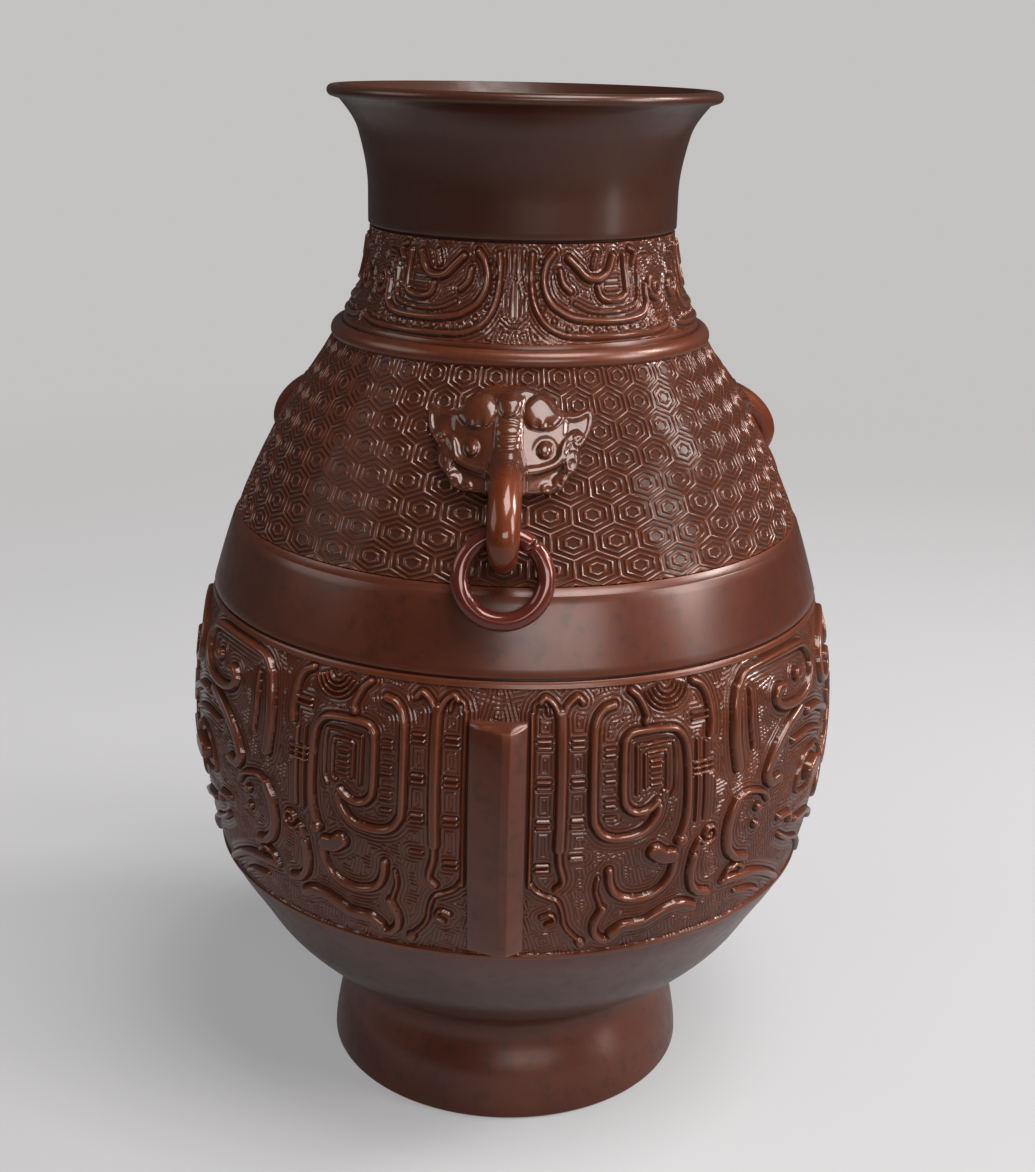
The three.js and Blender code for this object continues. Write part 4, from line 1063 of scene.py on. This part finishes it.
FLOOR_REACH = 3.0
FLOOR_DROP = 0.0002
FLOOR_FADE = (1.1, 0.3)
FLOOR_IN_BRONZE = 0.3
FLOOR_GREY = (0.3, 0.3, 0.31)
FLOOR_PALE = (0.42, 0.417, 0.426)
FLOOR_GLOW = (0.25, 0.248, 0.254)
BACKDROP_IN_BRONZE = 0.06
BACKDROP_DIM = (0.035, 0.035, 0.036)
BACKDROP_PALE = (0.55, 0.54, 0.53)


def pale_share(tree, in_bronze):
    """How much of the pale background a ray sees: all of it from the camera or through glass, a
    share in a reflection, and none where it lights the vase."""
    rays = node(tree, "LightPath").outputs
    glossy = maths(tree, "MULTIPLY", rays["Is Glossy Ray"], in_bronze)
    return maths(tree, "MAXIMUM", glossy,
                 maths(tree, "MAXIMUM", rays["Is Camera Ray"], rays["Is Transmission Ray"]))


around = np.radians(np.arange(0, 360, 5))
floor_mesh = bpy.data.meshes.new("floor")
floor_mesh.from_pydata([(FLOOR_REACH * np.cos(turn), FLOOR_REACH * np.sin(turn), -FLOOR_DROP)
                        for turn in around], [], [range(len(around))])
floor = bpy.data.objects.new("floor", floor_mesh)
bpy.context.scene.collection.objects.link(floor)

floor_paint = bpy.data.materials.new("floor paint")
floor_paint.use_nodes = True
tree = floor_paint.node_tree
shader = tree.nodes["Principled BSDF"]
seen = pale_share(tree, FLOOR_IN_BRONZE)
tree.links.new(mixed(tree, seen, (*FLOOR_GREY, 1), (*FLOOR_PALE, 1)), shader.inputs["Base Color"])
tree.links.new(mixed(tree, seen, (0, 0, 0, 1), (*FLOOR_GLOW, 1)), shader.inputs["Emission Color"])
far = node(tree, "VectorMath", {"operation": "LENGTH"},
           n0=node(tree, "TexCoord").outputs["Object"]).outputs["Value"]
above = maths(tree, "SUBTRACT", 1.0, node(tree, "NewGeometry").outputs["Backfacing"])
tree.links.new(maths(tree, "MULTIPLY", ramped(tree, far, *FLOOR_FADE), above),
               shader.inputs["Alpha"])
for title, value in (("Emission Strength", 1), ("Roughness", 0.9), ("Specular IOR Level", 0.1)):
    shader.inputs[title].default_value = value
floor_mesh.materials.append(floor_paint)

world = bpy.data.worlds.new("studio")
bpy.context.scene.world = world
world.use_nodes = True
tree = world.node_tree
tree.links.new(mixed(tree, pale_share(tree, BACKDROP_IN_BRONZE), (*BACKDROP_DIM, 1),
                     (*BACKDROP_PALE, 1)), tree.nodes["Background"].inputs["Color"])


# Soft lamps stand to the right and in front of the vase, with a weak one to the left. Each is a
# warm white panel, given by its azimuth, distance, height, the height that it faces, its width,
# how tall it is, and its power.

LAMP_WHITE = (1, 0.98, 0.95)


def lamp(name, azimuth, distance, height, aim, width, tall, power):
    """A soft area light that stands at an azimuth from the front and looks at a height."""
    light = bpy.data.lights.new(name, "AREA")
    light.shape = "RECTANGLE"
    light.size, light.size_y = width, tall
    light.energy = power
    light.color = LAMP_WHITE
    turn = np.radians(azimuth)
    place = Vector((distance * np.sin(turn), -distance * np.cos(turn), height))
    item = bpy.data.objects.new(name, light)
    item.matrix_world = Matrix.LocRotScale(place, (Vector((0, 0, aim)) - place).to_track_quat(
        "-Z", "Y"), None)
    bpy.context.scene.collection.objects.link(item)


lamp("overhead", 48, 0.65, 1.8, 0.1, 0.9, 0.9, 22)
lamp("right window", 72, 1.5, 0.8, 0.16, 0.5, 0.7, 9)
lamp("side window", 97, 1.4, 1.1, 0.18, 0.35, 0.5, 12)
lamp("bright pane", 70, 1.3, 0.4, 0.18, 0.14, 0.9, 1.2)
lamp("front window", 17, 1.6, 0.62, 0.17, 1.0, 0.36, 6.5)
lamp("left window", -80, 1.5, 0.9, 0.12, 1.0, 0.8, 4)


# The camera stands in front, a little to the left, and looks down at the vase from the height of
# its mouth. Its place and lens come from the rims and band lines that a fit found in the photo.

CAMERA_AWAY = 485.3
CAMERA_HEIGHT = 313.6
CAMERA_TURN = 2.0
CAMERA_LENS = 50.93
CAMERA_FRAME = 36
CAMERA_ANGLES = (18.36, 0.108, 1.28)

camera = bpy.data.objects.new("camera", bpy.data.cameras.new("camera"))
camera.data.sensor_fit = "VERTICAL"
camera.data.sensor_height = CAMERA_FRAME
camera.data.lens = CAMERA_LENS
camera.data.clip_start = 0.01
pitch, yaw, roll = np.radians(CAMERA_ANGLES)
ahead = np.array([np.sin(yaw) * np.cos(pitch), np.cos(yaw) * np.cos(pitch), -np.sin(pitch)])
right = np.array([np.cos(yaw), -np.sin(yaw), 0])
up = np.cross(right, ahead)
place = np.array([0, -CAMERA_AWAY, CAMERA_HEIGHT]) * METRE
axes = np.stack([np.cos(roll) * right + np.sin(roll) * up,
                 np.cos(roll) * up - np.sin(roll) * right, -ahead, place])
placed = np.eye(4)
placed[:3, :] = about_axis(axes, CAMERA_TURN).T
camera.matrix_world = Matrix(placed.tolist())
bpy.context.scene.collection.objects.link(camera)
bpy.context.scene.camera = camera
bpy.context.scene.view_settings.view_transform = "Standard"
